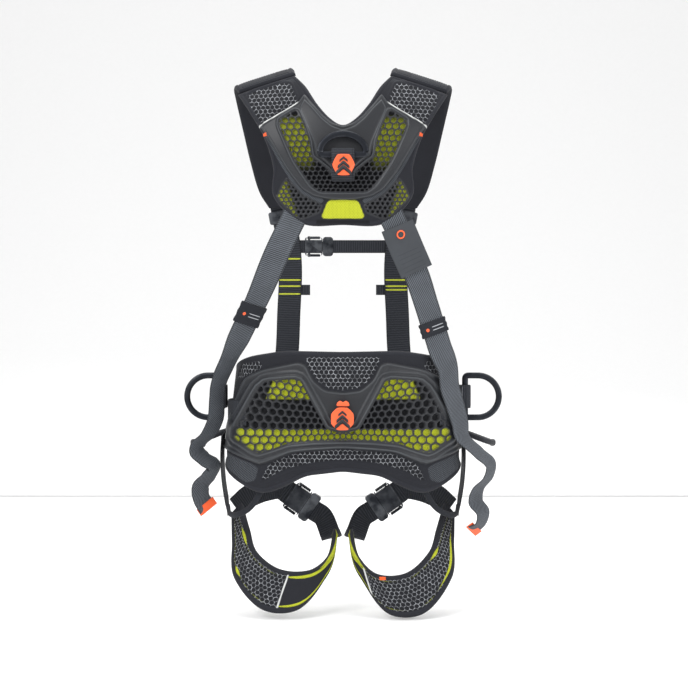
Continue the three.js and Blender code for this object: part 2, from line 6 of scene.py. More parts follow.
import bmesh
import bpy
import numpy as np
from bpy.props import FloatProperty, FloatVectorProperty, PointerProperty
from bpy.types import Operator, Panel, PropertyGroup
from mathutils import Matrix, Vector


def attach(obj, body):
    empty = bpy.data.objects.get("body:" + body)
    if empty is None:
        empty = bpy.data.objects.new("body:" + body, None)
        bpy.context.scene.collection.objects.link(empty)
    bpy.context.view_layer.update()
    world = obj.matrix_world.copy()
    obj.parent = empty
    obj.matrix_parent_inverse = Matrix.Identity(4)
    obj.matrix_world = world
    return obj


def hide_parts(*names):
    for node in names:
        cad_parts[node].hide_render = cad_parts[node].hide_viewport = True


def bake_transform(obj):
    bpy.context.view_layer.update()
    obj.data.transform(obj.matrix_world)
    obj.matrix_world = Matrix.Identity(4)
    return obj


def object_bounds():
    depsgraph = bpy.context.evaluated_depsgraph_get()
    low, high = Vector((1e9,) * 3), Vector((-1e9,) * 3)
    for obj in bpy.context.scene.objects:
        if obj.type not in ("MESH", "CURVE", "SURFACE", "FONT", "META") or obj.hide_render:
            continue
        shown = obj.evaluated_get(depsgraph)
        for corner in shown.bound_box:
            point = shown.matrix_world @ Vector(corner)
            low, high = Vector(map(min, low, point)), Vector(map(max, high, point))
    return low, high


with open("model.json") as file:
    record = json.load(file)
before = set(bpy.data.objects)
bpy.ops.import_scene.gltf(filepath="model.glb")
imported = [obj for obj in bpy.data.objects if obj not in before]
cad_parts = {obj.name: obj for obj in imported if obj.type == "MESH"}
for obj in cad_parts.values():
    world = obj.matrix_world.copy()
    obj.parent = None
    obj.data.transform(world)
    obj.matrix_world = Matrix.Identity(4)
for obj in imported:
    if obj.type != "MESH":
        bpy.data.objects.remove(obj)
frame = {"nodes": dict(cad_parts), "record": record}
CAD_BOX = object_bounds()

bl_info = {
    "name": "Tree climbing saddle",
    "version": (1, 0, 0),
    "blender": (4, 5, 0),
    "location": "View3D > Sidebar > Saddle",
    "description": "Builds the soft goods, moulded shells and hardware of a climbing saddle",
    "category": "Add Mesh",
}

# ------------------------------------------------------------------ driving sizes, in millimetres
MM = 0.001
LEFT, RIGHT = -1, 1
NAME = {LEFT: "left", RIGHT: "right"}
HIP_HALF_WIDTH, HIP_FLARE, HIP_HALF_DEPTH = 194.0, 0.116, 118.0
HIP_ROUND, HIP_FRONT_ROUND = 2.3, 3.0
BACK_DEPTH, BACK_TURN_Z, BACK_RISE, BACK_RUN = 118.0, 480.0, 148.0, 80.0
BACK_ROUND, BACK_SLOPE = 0.0011, 0.0008
PAD_REACH = 126.0  # degrees round the hip to each end of the waist pad


# ------------------------------------------------------------------ curves and surfaces with numpy
def rows(*columns):
    """Columns of numbers side by side as points, each stretched to the shape of the others."""
    return np.stack(np.broadcast_arrays(*columns), axis=-1).astype(float)


def unit(v):
    """Vectors divided by their own length."""
    return v / np.maximum(np.linalg.norm(v, axis=-1, keepdims=True), 1e-9)


def ease(low, high, x):
    """0 below low, 1 above high, and a smooth cubic step between them."""
    t = np.clip((x - low) / (high - low), 0, 1)
    return t * t * (3 - 2 * t)


def bump(x, middle, half):
    """A smooth hill, 1 at middle and 0 from half away."""
    return ease(half, 0, np.abs(x - middle))


def through(points, u):
    """A centripetal Catmull-Rom curve through the points, at u from 0 to 1, each span an equal share of u."""
    p = np.asarray(points, float)
    p = np.vstack([2 * p[0] - p[1], p, 2 * p[-1] - p[-2]])
    spans = len(p) - 3
    t = np.clip(np.asarray(u, float), 0, 1) * spans
    i = np.minimum(t.astype(int), spans - 1)
    w = (t - i)[..., None]
    p0, p1, p2, p3 = p[i], p[i + 1], p[i + 2], p[i + 3]

    def knot(a, b):
        return np.sqrt(np.maximum(np.linalg.norm(b - a, axis=-1, keepdims=True), 1e-6))

    d0, d1, d2 = knot(p0, p1), knot(p1, p2), knot(p2, p3)
    start = ((p1 - p0) / d0 - (p2 - p0) / (d0 + d1) + (p2 - p1) / d1) * d1
    end = ((p2 - p1) / d1 - (p3 - p1) / (d1 + d2) + (p3 - p2) / d2) * d1
    return (
        p1 + start * w
        + (3 * (p2 - p1) - 2 * start - end) * w**2
        + (2 * (p1 - p2) + start + end) * w**3
    )


def even(points, count, closed=False):
    """Count points a steady distance apart along the curve through the given points."""
    p = np.asarray(points, float)
    if closed:
        p = np.vstack([p, p[:1]])
    fine = through(p, np.linspace(0, 1, 40 * len(p)))
    length = np.concatenate([[0], np.cumsum(np.linalg.norm(np.diff(fine, axis=0), axis=1))])
    at = np.linspace(0, length[-1], count + 1 if closed else count)
    out = np.stack([np.interp(at, length, fine[:, k]) for k in range(fine.shape[1])], axis=1)
    return out[:-1] if closed else out


def run_along(line):
    """The length along a line of points, from its first point to each, as a column."""
    return np.cumsum(np.linalg.norm(np.diff(line, axis=0, prepend=line[:1]), axis=1))[:, None]


def normals(grid, away_from):
    """The unit normal at each point of a grid, turned to face away from a point."""
    n = unit(np.cross(np.gradient(grid, axis=0), np.gradient(grid, axis=1)))
    middle = tuple(s // 2 for s in grid.shape[:2])
    if np.dot(n[middle], grid[middle] - np.asarray(away_from, float)) < 0:
        n = -n
    return n


def hip(turn, z):
    """The hip ring, a superellipse that flares downwards, at an angle from the middle of the back."""
    wide = HIP_HALF_WIDTH - HIP_FLARE * z
    s, c = np.sin(turn), np.cos(turn)
    power = np.where(c > 0, HIP_ROUND, HIP_FRONT_ROUND)
    reach = (np.abs(s / wide) ** power + np.abs(c / HIP_HALF_DEPTH) ** power) ** (-1 / power)
    return rows(reach * s, -reach * c, z)


def front_turn(x, z):
    """The angle round the hip ring at which it is x from the middle, on the front."""
    wide = HIP_HALF_WIDTH - HIP_FLARE * z
    share = min(abs(x / wide), 0.999) ** HIP_FRONT_ROUND
    return math.pi - math.atan2(x, HIP_HALF_DEPTH * (1 - share) ** (1 / HIP_FRONT_ROUND))


def outside_hip(turn, z, off):
    """The point of the hip ring at an angle, moved outwards by off along the level normal."""
    along = hip(turn + 0.01, z) - hip(turn - 0.01, z)
    return hip(turn, z) + unit(np.cross(along, (0, 0, 1))) * off


def upper_back(x, z):
    """The upper back, which rounds sideways by the square of x and turns over at the shoulders on an ellipse."""
    rise = np.clip((z + BACK_SLOPE * x * x - BACK_TURN_Z) / BACK_RISE, 0, 0.995)
    over = BACK_RUN * (1 - np.sqrt(1 - rise * rise))
    return rows(x, -BACK_DEPTH + over + BACK_ROUND * x * x, z)


def line_distance(x, z, points):
    """The distance from each point to an open run of straight lines."""
    points = np.asarray(points, float)
    nearest = np.full(np.shape(x), np.inf)
    for (xa, za), (xb, zb) in zip(points[:-1], points[1:]):
        ex, ez = xb - xa, zb - za
        t = np.clip(((x - xa) * ex + (z - za) * ez) / (ex * ex + ez * ez), 0, 1)
        nearest = np.minimum(nearest, np.hypot(x - xa - t * ex, z - za - t * ez))
    return nearest


def outline_distance(x, z, corners, rounds=2):
    """The distance from each point to a closed outline with softened corners, negative inside it."""
    corners = np.asarray(corners, float)
    for _ in range(rounds):
        after = np.roll(corners, -1, axis=0)
        corners = np.stack([corners * 0.87 + after * 0.13, corners * 0.13 + after * 0.87], axis=1).reshape(-1, 2)
    inside = np.zeros(np.shape(x), bool)
    for (xa, za), (xb, zb) in zip(corners, np.roll(corners, -1, axis=0)):
        crosses = (za > z) != (zb > z)
        inside ^= crosses & (x < xa + (z - za) * (xb - xa) / (zb - za if zb != za else 1e-9))
    nearest = line_distance(x, z, np.vstack([corners, corners[:1]]))
    return np.where(inside, -nearest, nearest)


def both_sides(half):
    """A whole outline from the half of it with x below 0, listed from the top middle to the bottom middle."""
    return list(half) + [(-x, z) for x, z in reversed(half) if abs(x) > 1e-6]


def on_side(points, side):
    """Points given for the wearer's left, or those points mirrored for the right."""
    return [(-side * p[0], *p[1:]) for p in points]


def cell_distance(p, q):
    """The distance from the middle of the nearest cell of a hexagonal grid of pitch 1, by hexagons: 0.5 at a wall."""
    tall = math.sqrt(3)
    ax, ay = (p + 0.5) % 1 - 0.5, ((q / tall + 0.5) % 1 - 0.5) * tall
    bx, by = p % 1 - 0.5, (q / tall % 1 - 0.5) * tall
    near = ax * ax + ay * ay < bx * bx + by * by
    cx, cy = np.abs(np.where(near, ax, bx)), np.abs(np.where(near, ay, by))
    return 0.45 * np.hypot(cx, cy) * 1.06 + 0.55 * np.maximum(cx, cx / 2 + cy * tall / 2)


# ------------------------------------------------------------------ meshes
def mesh_object(name, points, faces, uv=None, masks=None, smooth=True):
    """An object from points in millimetres, arrays of faces, a UV of each loop or point, and masks of each point."""
    mesh = bpy.data.meshes.new(name)
    points = np.asarray(points, float).reshape(-1, 3)
    faces = [np.asarray(f, int) for f in faces if len(f)]
    loops = np.concatenate([f.ravel() for f in faces])
    totals = np.concatenate([np.full(len(f), f.shape[1]) for f in faces])
    mesh.vertices.add(len(points))
    mesh.vertices.foreach_set("co", (points * MM).ravel())
    mesh.loops.add(len(loops))
    mesh.loops.foreach_set("vertex_index", loops)
    mesh.polygons.add(len(totals))
    mesh.polygons.foreach_set("loop_start", np.concatenate([[0], np.cumsum(totals)[:-1]]))
    mesh.polygons.foreach_set("loop_total", totals)
    mesh.polygons.foreach_set("use_smooth", np.full(len(totals), smooth))
    if uv is not None:
        uv = np.asarray(uv, float).reshape(-1, 2)
        layer = mesh.uv_layers.new(name="UVMap")
        layer.data.foreach_set("uv", ((uv if len(uv) == len(loops) else uv[loops]) * MM).ravel())
    for mask, values in (masks or {}).items():
        attribute = mesh.attributes.new(mask, "FLOAT", "POINT")
        attribute.data.foreach_set("value", np.asarray(values, np.float32).ravel())
    mesh.update(calc_edges=True)
    mesh.validate()
    obj = bpy.data.objects.new(name, mesh)
    bpy.context.scene.collection.objects.link(obj)
    return obj


def quads(nu, nv, wrap_u=False, wrap_v=False, first=0):
    """The faces of a grid of nu by nv points, which may join up with itself either way."""
    i = np.arange(nu if wrap_u else nu - 1)[:, None]
    j = np.arange(nv if wrap_v else nv - 1)[None, :]
    a, b = i * nv + j, ((i + 1) % nu) * nv + j
    c, d = ((i + 1) % nu) * nv + (j + 1) % nv, i * nv + (j + 1) % nv
    return first + np.stack([a, b, c, d], axis=-1).reshape(-1, 4)


def border(nu, nv, first=0):
    """The indices round the border of a grid of points, in order."""
    top = np.arange(nu) * nv
    side = (nu - 1) * nv + np.arange(nv)
    return first + np.concatenate([top[:-1], side[:-1], (top + nv - 1)[:0:-1], np.arange(nv)[:0:-1]])


def slab(name, front, back, uv, masks, lining=0.0):
    """A closed plate: a fine front grid, a back grid that may be k times coarser, and fans that join their borders.

    lining is the value of the lining mask on the back.
    """
    nu, nv = front.shape[:2]
    mu, mv = back.shape[:2]
    k = (nu - 1) // (mu - 1)
    first = nu * nv
    f, b = border(nu, nv), border(mu, mv, first)
    fan = np.stack([np.roll(f, -1), f, np.repeat(b, k)], axis=1)
    close = np.stack([np.roll(f, -k)[::k], b, np.roll(b, -1)], axis=1)
    faces = [quads(nu, nv), quads(mu, mv, first=first)[:, ::-1], fan, close]
    middle = (nu // 2, nv // 2)
    du = front[middle[0] + 1, middle[1]] - front[middle]
    dv = front[middle[0], middle[1] + 1] - front[middle]
    if np.dot(np.cross(du, dv), front[middle] - back[mu // 2, mv // 2]) < 0:
        faces = [face[:, ::-1] for face in faces]
    points = np.concatenate([front.reshape(-1, 3), back.reshape(-1, 3)])
    uvs = np.concatenate([uv.reshape(-1, 2), uv[::k, ::k].reshape(-1, 2)])
    blank = np.zeros(mu * mv)
    filled = {m: np.concatenate([np.asarray(v, float).ravel(), blank]) for m, v in masks.items()}
    filled["lining"] = np.concatenate([np.zeros(nu * nv), blank + np.ravel(lining)])
    return mesh_object(name, points, faces, uvs, filled)


def swept(name, path, side, profile, closed=False, taper=None):
    """A closed profile carried along a path: its first number runs along side, its second along the normal."""
    path, profile = np.asarray(path, float), np.asarray(profile, float)
    n, m = len(path), len(profile)
    if closed:
        tangent = unit(np.roll(path, -1, axis=0) - np.roll(path, 1, axis=0))
    else:
        tangent = unit(np.gradient(path, axis=0))
    side = np.broadcast_to(np.asarray(side, float), path.shape)
    side = unit(side - tangent * np.sum(side * tangent, axis=1, keepdims=True))
    up = np.cross(tangent, side)
    scale = np.ones(n) if taper is None else taper
    points = (
        path[:, None]
        + side[:, None] * (profile[None, :, 0] * scale[:, None])[..., None]
        + up[:, None] * (profile[None, :, 1] * scale[:, None])[..., None]
    )
    step = np.linalg.norm(np.roll(path, -1, axis=0) - path, axis=1)
    along = np.concatenate([[0], np.cumsum(step)])[: n + 1]
    round_ = np.concatenate([[0], np.cumsum(np.linalg.norm(np.roll(profile, -1, axis=0) - profile, axis=1))])
    faces = quads(n, m, wrap_u=closed, wrap_v=True)
    i, j = np.divmod(np.arange(len(faces)), m)
    corners = ((i, j), (i + 1, j), (i + 1, j + 1), (i, j + 1))
    uv = np.stack([rows(round_[b], along[a]) for a, b in corners], axis=1)
    area = np.sum(profile[:, 0] * np.roll(profile[:, 1], -1) - np.roll(profile[:, 0], -1) * profile[:, 1])
    if area < 0:
        faces, uv = faces[:, ::-1], uv[:, ::-1]
    parts, uvs = [faces[:, ::-1]], [uv[:, ::-1].reshape(-1, 2)]
    if not closed:
        start, end = np.arange(m), (n - 1) * m + np.arange(m)
        caps = (start[::-1], end) if area > 0 else (start, end[::-1])
        for cap, at in zip(caps, (0, along[n - 1])):
            parts.append(cap[None, ::-1])
            spread = points.reshape(-1, 3)[cap[::-1]] @ unit(side[0])
            uvs.append(rows(spread, at + 0 * spread))
    obj = mesh_object(name, points, parts, np.concatenate(uvs))
    return obj


def webbing_profile(width, thick, columns=11):
    """A flat strap's section: straight faces that round off over the last tenth of each edge."""
    y = np.sin(np.linspace(-math.pi / 2, math.pi / 2, columns))
    high = thick / 2 * np.sqrt(np.clip(1 - np.abs(y) ** 10, 0, 1))
    top, bottom = rows(y * width / 2, high), rows(y * width / 2, -high)
    return np.concatenate([top, bottom[-2:0:-1]])


def round_profile(half_width, half_height, count=16, power=2.0):
    """A superellipse: round at power 2 and squarer above it."""
    a = np.linspace(0, 2 * math.pi, count, endpoint=False)
    c, s = np.cos(a), np.sin(a)
    return rows(
        half_width * np.sign(c) * np.abs(c) ** (2 / power),
        half_height * np.sign(s) * np.abs(s) ** (2 / power),
    )


def strap(name, path, across, width=45.0, thick=2.2, spacing=3.0, narrow_end=1.0):
    """Webbing along a curve through the path's points, with its width along the across directions.

    Its last fifth may narrow to a share of its width.
    """
    fine = through(path, np.linspace(0, 1, 600))
    sideways = through(across if len(across) > 1 else [across[0]] * 2, np.linspace(0, 1, 600))
    length = np.concatenate([[0], np.cumsum(np.linalg.norm(np.diff(fine, axis=0), axis=1))])
    at = np.linspace(0, length[-1], max(int(length[-1] / spacing), 4))
    route = np.stack([np.interp(at, length, fine[:, k]) for k in range(3)], axis=1)
    side = np.stack([np.interp(at, length, sideways[:, k]) for k in range(3)], axis=1)
    taper = 1 - (1 - narrow_end) * ease(0.8, 1, np.linspace(0, 1, len(at)))
    return swept(name, route, side, webbing_profile(width, thick), taper=taper)


def stacked(name, outline, levels, place):
    """A plate built of rings: at each (inset, height) level the outline is drawn in by inset, and the last is capped.

    The inset moves each point towards the outline's middle. place carries (x, y, height) into the saddle.
    """
    outline = np.asarray(outline, float)
    n = len(outline)
    middle = outline.mean(axis=0)
    reach = np.linalg.norm(outline - middle, axis=1, keepdims=True)
    rings = [rows(*((outline - (outline - middle) / reach * inset).T), np.full(n, h)) for inset, h in levels]
    points = np.concatenate(rings)
    faces = quads(len(levels), n, wrap_v=True)
    caps = [np.arange(n)[None, :], (len(levels) - 1) * n + np.arange(n)[None, ::-1]]
    area = np.sum(outline[:, 0] * np.roll(outline[:, 1], -1) - np.roll(outline[:, 0], -1) * outline[:, 1])
    parts = [faces, *caps]
    if area > 0:
        parts = [p[:, ::-1] for p in parts]
    obj = mesh_object(name, place(points), parts, points[:, :2])
    return obj


def finish_with(obj, material, body, slot, *nodes):
    """Gives a piece its material, its body and the CAD nodes that it stands for. slot is not used."""
    obj.data.materials.clear()
    obj.data.materials.append(material)
    if body:
        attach(obj, body)
    if nodes:
        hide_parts(*nodes)
    return obj


def modifier(obj, kind, **settings):
    """Adds a modifier with the given settings."""
    m = obj.modifiers.new(kind.title(), kind)
    for key, value in settings.items():
        setattr(m, key, value)
    return m


# ------------------------------------------------------------------ materials
def from_screen(red, green, blue):
    """A colour given as 0 to 255 on a screen, as the linear light that a shader takes."""
    c = np.array([red, green, blue]) / 255
    return tuple(float(v) for v in np.where(c <= 0.04045, c / 12.92, ((c + 0.055) / 1.055) ** 2.4))


class Value:
    """A number in a material. Python expressions on it add Math nodes."""

    def __init__(self, finish, socket):
        self.finish, self.socket = finish, socket

    def math(self, operation, *others):
        terms = dict(enumerate((self, *others)))
        return Value(self.finish, self.finish.node("Math", {"operation": operation}, terms).outputs[0])

    def __add__(self, other):
        return self.math("ADD", other)

    def __sub__(self, other):
        return self.math("SUBTRACT", other)

    def __rsub__(self, other):
        return (self * -1) + other

    def __mul__(self, other):
        return self.math("MULTIPLY", other)

    def __truediv__(self, other):
        return self.math("DIVIDE", other)

    __radd__, __rmul__ = __add__, __mul__

    def fract(self):
        return self.math("FRACT")

    def abs(self):
        return self.math("ABSOLUTE")

    def sin(self):
        return self.math("SINE")

    def less(self, other):
        return self.math("LESS_THAN", other)

    def max(self, other):
        return self.math("MAXIMUM", other)

    def min(self, other):
        return self.math("MINIMUM", other)

    def ease(self, low, high):
        """0 at low, 1 at high, smooth between and flat beyond."""
        settings = {"interpolation_type": "SMOOTHSTEP"}
        node = self.finish.node("MapRange", settings, {0: self, 1: low, 2: high, 3: 0.0, 4: 1.0})
        return Value(self.finish, node.outputs[0])


class Finish:
    """A material while its nodes are laid."""

    def __init__(self, name, fixed=None):
        self.material = bpy.data.materials.new(name)
        self.material.use_nodes = True
        self.tree = self.material.node_tree
        self.shader = self.tree.nodes["Principled BSDF"]
        for socket, value in (fixed or {}).items():
            self.feed(self.shader.inputs[socket], value)

    def feed(self, socket, value):
        value = value.socket if isinstance(value, Value) else value
        if isinstance(value, bpy.types.NodeSocket):
            self.tree.links.new(value, socket)
        elif socket.type == "RGBA" and len(value) == 3:
            socket.default_value = (*value, 1)
        else:
            socket.default_value = value

    def node(self, kind, settings=None, inputs=None):
        """A node of a kind, with its settings set first and then the values or links of its sockets."""
        node = self.tree.nodes.new(f"ShaderNode{kind}")
        for key, value in (settings or {}).items():
            setattr(node, key, value)
        for key, value in (inputs or {}).items():
            self.feed(node.inputs[key], value)
        return node

    def mask(self, name):
        settings = {"attribute_type": "GEOMETRY", "attribute_name": name}
        return Value(self, self.node("Attribute", settings).outputs["Fac"])

    def uv(self):
        """Metres across and along the piece, as two numbers."""
        split = self.node("SeparateXYZ", None, {0: self.node("UVMap", {"uv_map": "UVMap"}).outputs[0]})
        return Value(self, split.outputs[0]), Value(self, split.outputs[1])

    def object_place(self):
        return self.node("TexCoord").outputs["Object"]

    def noise(self, scale, detail=3.0, stretch=None):
        """Noise of about 1 / scale metres, on Object coordinates that may be stretched by a factor each way."""
        place = self.object_place()
        if stretch:
            place = self.node("Mapping", None, {"Vector": place, "Scale": stretch}).outputs[0]
        node = self.node("TexNoise", None, {"Vector": place, "Scale": float(scale), "Detail": detail})
        return Value(self, node.outputs[0])

    def mix(self, factor, a, b):
        """Colour a where factor is 0 and colour b where it is 1."""
        return self.node("Mix", {"data_type": "RGBA"}, {0: factor, 6: a, 7: b}).outputs[2]

    def hexagons(self, u, v, pitch):
        """How far each point is from the middle of its cell in a honeycomb: 0 there and 0.5 at the walls."""
        tall = math.sqrt(3)
        p, q = u / pitch, v / (pitch * tall)
        ax, ay = (p + 0.5).fract() - 0.5, ((q + 0.5).fract() - 0.5) * tall
        bx, by = p.fract() - 0.5, (q.fract() - 0.5) * tall
        near = (ax * ax + ay * ay).less(bx * bx + by * by)
        cx, cy = (bx + (ax - bx) * near).abs(), (by + (ay - by) * near).abs()
        return cx.max(cx * 0.5 + cy * (tall / 2))

    def weave(self, u, v, pitch):
        """Threads over and under: the product of two sine waves, from 0 to 1."""
        turn = 2 * math.pi / pitch
        return (u * turn).sin() * (v * turn).sin() * 0.5 + 0.5

    def done(self, colour, roughness, height=None, depth=0.0004, strength=1.0):
        self.feed(self.shader.inputs["Base Color"], colour)
        self.feed(self.shader.inputs["Roughness"], roughness)
        if height is not None:
            bump = self.node("Bump", None, {"Strength": strength, "Distance": depth, "Height": height})
            self.feed(self.shader.inputs["Normal"], bump.outputs[0])
        return self.material


MADE = {}


def made_once(maker):
    """The material is built the first time it is asked for, and found again after that."""

    def found():
        if maker.__name__ not in MADE:
            MADE[maker.__name__] = maker(bpy.context.scene.saddle_colours)
        return MADE[maker.__name__]

    return found


@made_once
def cover(colours):
    """Black pad cloth with everything that the relief marks on it: shell, rims with a painted highlight along their
    crests, nets, ribs, trim and mesh.
    """
    f = Finish("padded_cover", {"Sheen Weight": 0.03, "Specular IOR Level": 0.28, "Coat Roughness": 0.32})
    u, v = f.uv()
    broad, fine = f.noise(22, 4.0), f.noise(420, 2.0)
    weave = f.weave(u, v, 0.0016)
    cloth = f.mix(broad * 0.5 + weave * 0.3, tuple(colours.cover), tuple(1.7 * c for c in colours.cover))
    wall = f.hexagons(u, v, 0.0082)
    thread = wall.ease(0.415, 0.465)
    glint = f.noise(260, 2.0).ease(0.42, 0.62) * 0.75 + 0.25
    net_colour = f.mix(thread * glint, tuple(0.9 * c for c in colours.cover), tuple(colours.net))
    ribs = ((u + v) * (2 * math.pi / 0.0036)).sin() * 0.5 + 0.5
    rib_colour = f.mix(ribs, tuple(0.8 * c for c in colours.cover), tuple(colours.grey_webbing))
    mesh = f.hexagons(v, u, 0.0026).ease(0.3, 0.44)
    lime_colour = f.mix(mesh * 0.75 + broad * 0.3, tuple(0.45 * c for c in colours.lime), tuple(colours.lime))
    # The shell takes its rim colour along the rim crests: a painted highlight, made patchy by broad noise.
    shell_colour = f.mix(f.mask("wear_and_rim_highlight") * (broad * 0.7 + 0.3), tuple(colours.shell), tuple(colours.shell_rim_highlight))
    trim_colour = f.mix(weave * 0.5 + broad * 0.3, tuple(colours.cover), tuple(2.4 * c for c in colours.cover))
    net, rib, shell, lime = f.mask("net"), f.mask("rib"), f.mask("shell"), f.mask("lime")
    colour = f.mix(net, cloth, net_colour)
    colour = f.mix(rib, colour, rib_colour)
    dark_grey = tuple(0.3 * c for c in colours.grey_webbing)
    band_colour = f.mix(ribs * 0.5 + broad * 0.3, dark_grey, tuple(colours.grey_webbing))
    colour = f.mix(f.mask("trim"), colour, trim_colour)
    colour = f.mix(f.mask("band"), colour, band_colour)
    colour = f.mix(shell, colour, shell_colour)
    colour = f.mix(f.mask("dark"), colour, tuple(0.5 * c for c in colours.cover))
    colour = f.mix(lime, colour, lime_colour)
    colour = f.mix(f.mask("lining"), colour, lime_colour)
    colour = f.mix(f.mask("white"), colour, (0.62, 0.63, 0.62))
    colour = f.mix(f.mask("orange"), colour, tuple(colours.badge))
    f.feed(f.shader.inputs["Coat Weight"], shell * 0.3)
    soft = 0.88 - shell * 0.4 + shell * (fine * 0.12 + broad * 0.08)
    height = (weave * 0.35 + thread * net * 1.6 + ribs * rib * 1.2 + mesh * lime * 0.8) * (1 - shell) + fine * 0.12
    return f.done(colour, soft, height, 0.0005, 0.7)


def webbing_finish(name, base, light, diagonal=0.0, edge=0.0022, width=0.045):
    """Webbing: rows of small chevrons along it, a plain selvedge at each edge and two rows of stitches."""
    f = Finish(name, {"Sheen Weight": 0.03, "Specular IOR Level": 0.3})
    u, v = f.uv()
    across = (u - width / 2).abs()
    rib = (((u * diagonal + v) * (2 * math.pi / 0.0044)).sin() * 0.5 + 0.5).ease(0.15, 0.85)
    grain = f.weave(u, v, 0.0011)
    wear = f.noise(35, 4.0)
    lit = rib * 0.75 + grain * 0.15 + wear * 0.3 - 0.12
    colour = f.mix(lit, base, light)
    selvedge = (u.less(edge) + (width - u).less(edge) * (u.less(width))).min(1.0)
    colour = f.mix(selvedge * 0.6, colour, tuple(0.6 * c for c in base))
    stitch = ((v * (2 * math.pi / 0.005)).sin()).ease(-0.2, 0.3)
    row = (across - width * 0.36).abs().ease(0.0009, 0.0004) * stitch
    colour = f.mix(row * 0.5, colour, light)
    return f.done(colour, 0.8 - rib * 0.12 + wear * 0.1, rib * 0.8 + grain * 0.4 + row * 0.6, 0.0005, 0.8)


@made_once
def webbing(colours):
    """Black 45 mm webbing."""
    return webbing_finish("black_webbing", tuple(colours.webbing), tuple(2.2 * c for c in colours.webbing))


@made_once
def narrow_webbing(colours):
    """Black 25 mm webbing."""
    base = tuple(colours.webbing)
    return webbing_finish("narrow_webbing", base, tuple(2.2 * c for c in base), width=0.025)


@made_once
def grey_webbing(colours):
    """Grey webbing with a slanting rib."""
    dark = tuple(0.25 * c for c in colours.grey_webbing)
    return webbing_finish("grey_ribbed_webbing", dark, tuple(1.6 * c for c in colours.grey_webbing), diagonal=0.9)


@made_once
def elastic(colours):
    """Ribbed elastic: fine cords along it."""
    f = Finish("elastic_band", {"Sheen Weight": 0.03, "Specular IOR Level": 0.25})
    u, v = f.uv()
    cords = (u * (2 * math.pi / 0.0021)).sin() * 0.5 + 0.5
    knit = (v * (2 * math.pi / 0.0014)).sin() * 0.5 + 0.5
    wear = f.noise(40, 3.0)
    base = tuple(colours.webbing)
    colour = f.mix(cords * 0.5 + knit * 0.2 + wear * 0.3, tuple(0.6 * c for c in base), tuple(1.8 * c for c in base))
    return f.done(colour, 0.82 + wear * 0.1, cords * 0.8 + knit * 0.3, 0.0005, 0.7)


def thread_finish(name, colour_of):
    """Bar tacks: close zigzag threads."""
    f = Finish(name, {"Sheen Weight": 0.1})
    u, v = f.uv()
    thread = ((u * 0.5 + v) * (2 * math.pi / 0.0016)).sin() * 0.5 + 0.5
    colour = f.mix(thread, tuple(0.55 * c for c in colour_of), tuple(1.1 * c for c in colour_of))
    return f.done(colour, 0.6 + thread * 0.15, thread, 0.0004, 0.8)


@made_once
def lime_thread(colours):
    """Lime bar-tack thread."""
    return thread_finish("lime_stitching", tuple(colours.lime))


@made_once
def grey_thread(colours):
    """Grey thread."""
    return thread_finish("grey_stitching", tuple(1.3 * c for c in colours.net))


@made_once
def anodised(colours):
    """Black anodised metal: a fine blasted grain, and grey where edges and bearing faces have rubbed."""
    f = Finish("black_anodised", {"Metallic": 1.0})
    grain, rub, scuff = f.noise(900, 2.0), f.noise(45, 5.0), f.noise(130, 3.0, (1.0, 1.0, 0.25))
    edge = Value(f, f.node("NewGeometry").outputs["Pointiness"]).ease(0.505, 0.56)
    # Here the mask is only real rubbed wear on the metal's edges and faces.
    wear_and_rim_highlight = edge * rub.ease(0.35, 0.65) * 0.7 + rub.ease(0.62, 0.8) * scuff * 0.35
    colour = f.mix(wear_and_rim_highlight, tuple(colours.metal), tuple(colours.bare_metal))
    return f.done(colour, 0.36 + grain * 0.12 + rub * 0.12 - wear_and_rim_highlight * 0.1, grain + scuff * 0.4, 0.00015, 0.5)


@made_once
def moulded(colours):
    """Flexible moulded plastic with a pebbled skin."""
    f = Finish("moulded_rubber", {"Specular IOR Level": 0.35})
    pebble, broad = f.noise(700, 3.0), f.noise(30, 3.0)
    colour = f.mix(broad, tuple(0.8 * c for c in colours.rubber), tuple(1.35 * c for c in colours.rubber))
    return f.done(colour, 0.5 + broad * 0.15 + pebble * 0.08, pebble, 0.0003, 0.5)


@made_once
def badge_orange(colours):
    """Orange soft-moulded badge: a fine grain and slightly deeper colour where it has been handled."""
    f = Finish("orange_badge", {"Coat Roughness": 0.4})
    grain, broad = f.noise(800, 2.0), f.noise(60, 3.0)
    colour = f.mix(broad, tuple(0.85 * c for c in colours.badge), tuple(1.05 * c for c in colours.badge))
    return f.done(colour, 0.45 + grain * 0.1, grain, 0.0002, 0.4)


@made_once
def badge_black(colours):
    """The dark raised marks of a badge."""
    f = Finish("badge_emblem")
    grain, broad = f.noise(800, 2.0), f.noise(60, 3.0)
    colour = f.mix(broad, tuple(0.5 * c for c in colours.rubber), tuple(0.8 * c for c in colours.rubber))
    return f.done(colour, 0.45 + grain * 0.1, grain, 0.0002, 0.4)


@made_once
def label_cloth(colours):
    """A printed label: satin cloth with faint generic rules and a small round mark."""
    f = Finish("label_cloth", {"Sheen Weight": 0.03, "Specular IOR Level": 0.3})
    u, v = f.uv()
    grain, broad = f.weave(u, v, 0.0009), f.noise(40, 3.0)
    grey = tuple(0.8 * c for c in colours.grey_webbing)
    colour = f.mix(broad * 0.5 + grain * 0.2, tuple(0.5 * c for c in grey), grey)
    rules = ((v * (2 * math.pi / 0.008)).sin()).ease(0.9, 0.97) * v.ease(0.045, 0.046) * (u - 0.03).abs().less(0.02)
    colour = f.mix(rules * 0.5, colour, tuple(0.3 * c for c in grey))
    return f.done(colour, 0.55 + grain * 0.1 + broad * 0.1, grain, 0.0003, 0.5)


@made_once
def studio_paper(colours):
    """A pale sweep with a faint paper tooth."""
    f = Finish("studio_paper")
    tooth = f.noise(60, 3.0)
    colour = f.mix(tooth, tuple(0.97 * c for c in colours.floor), tuple(colours.floor))
    return f.done(colour, 0.9, tooth, 0.0004, 0.2)


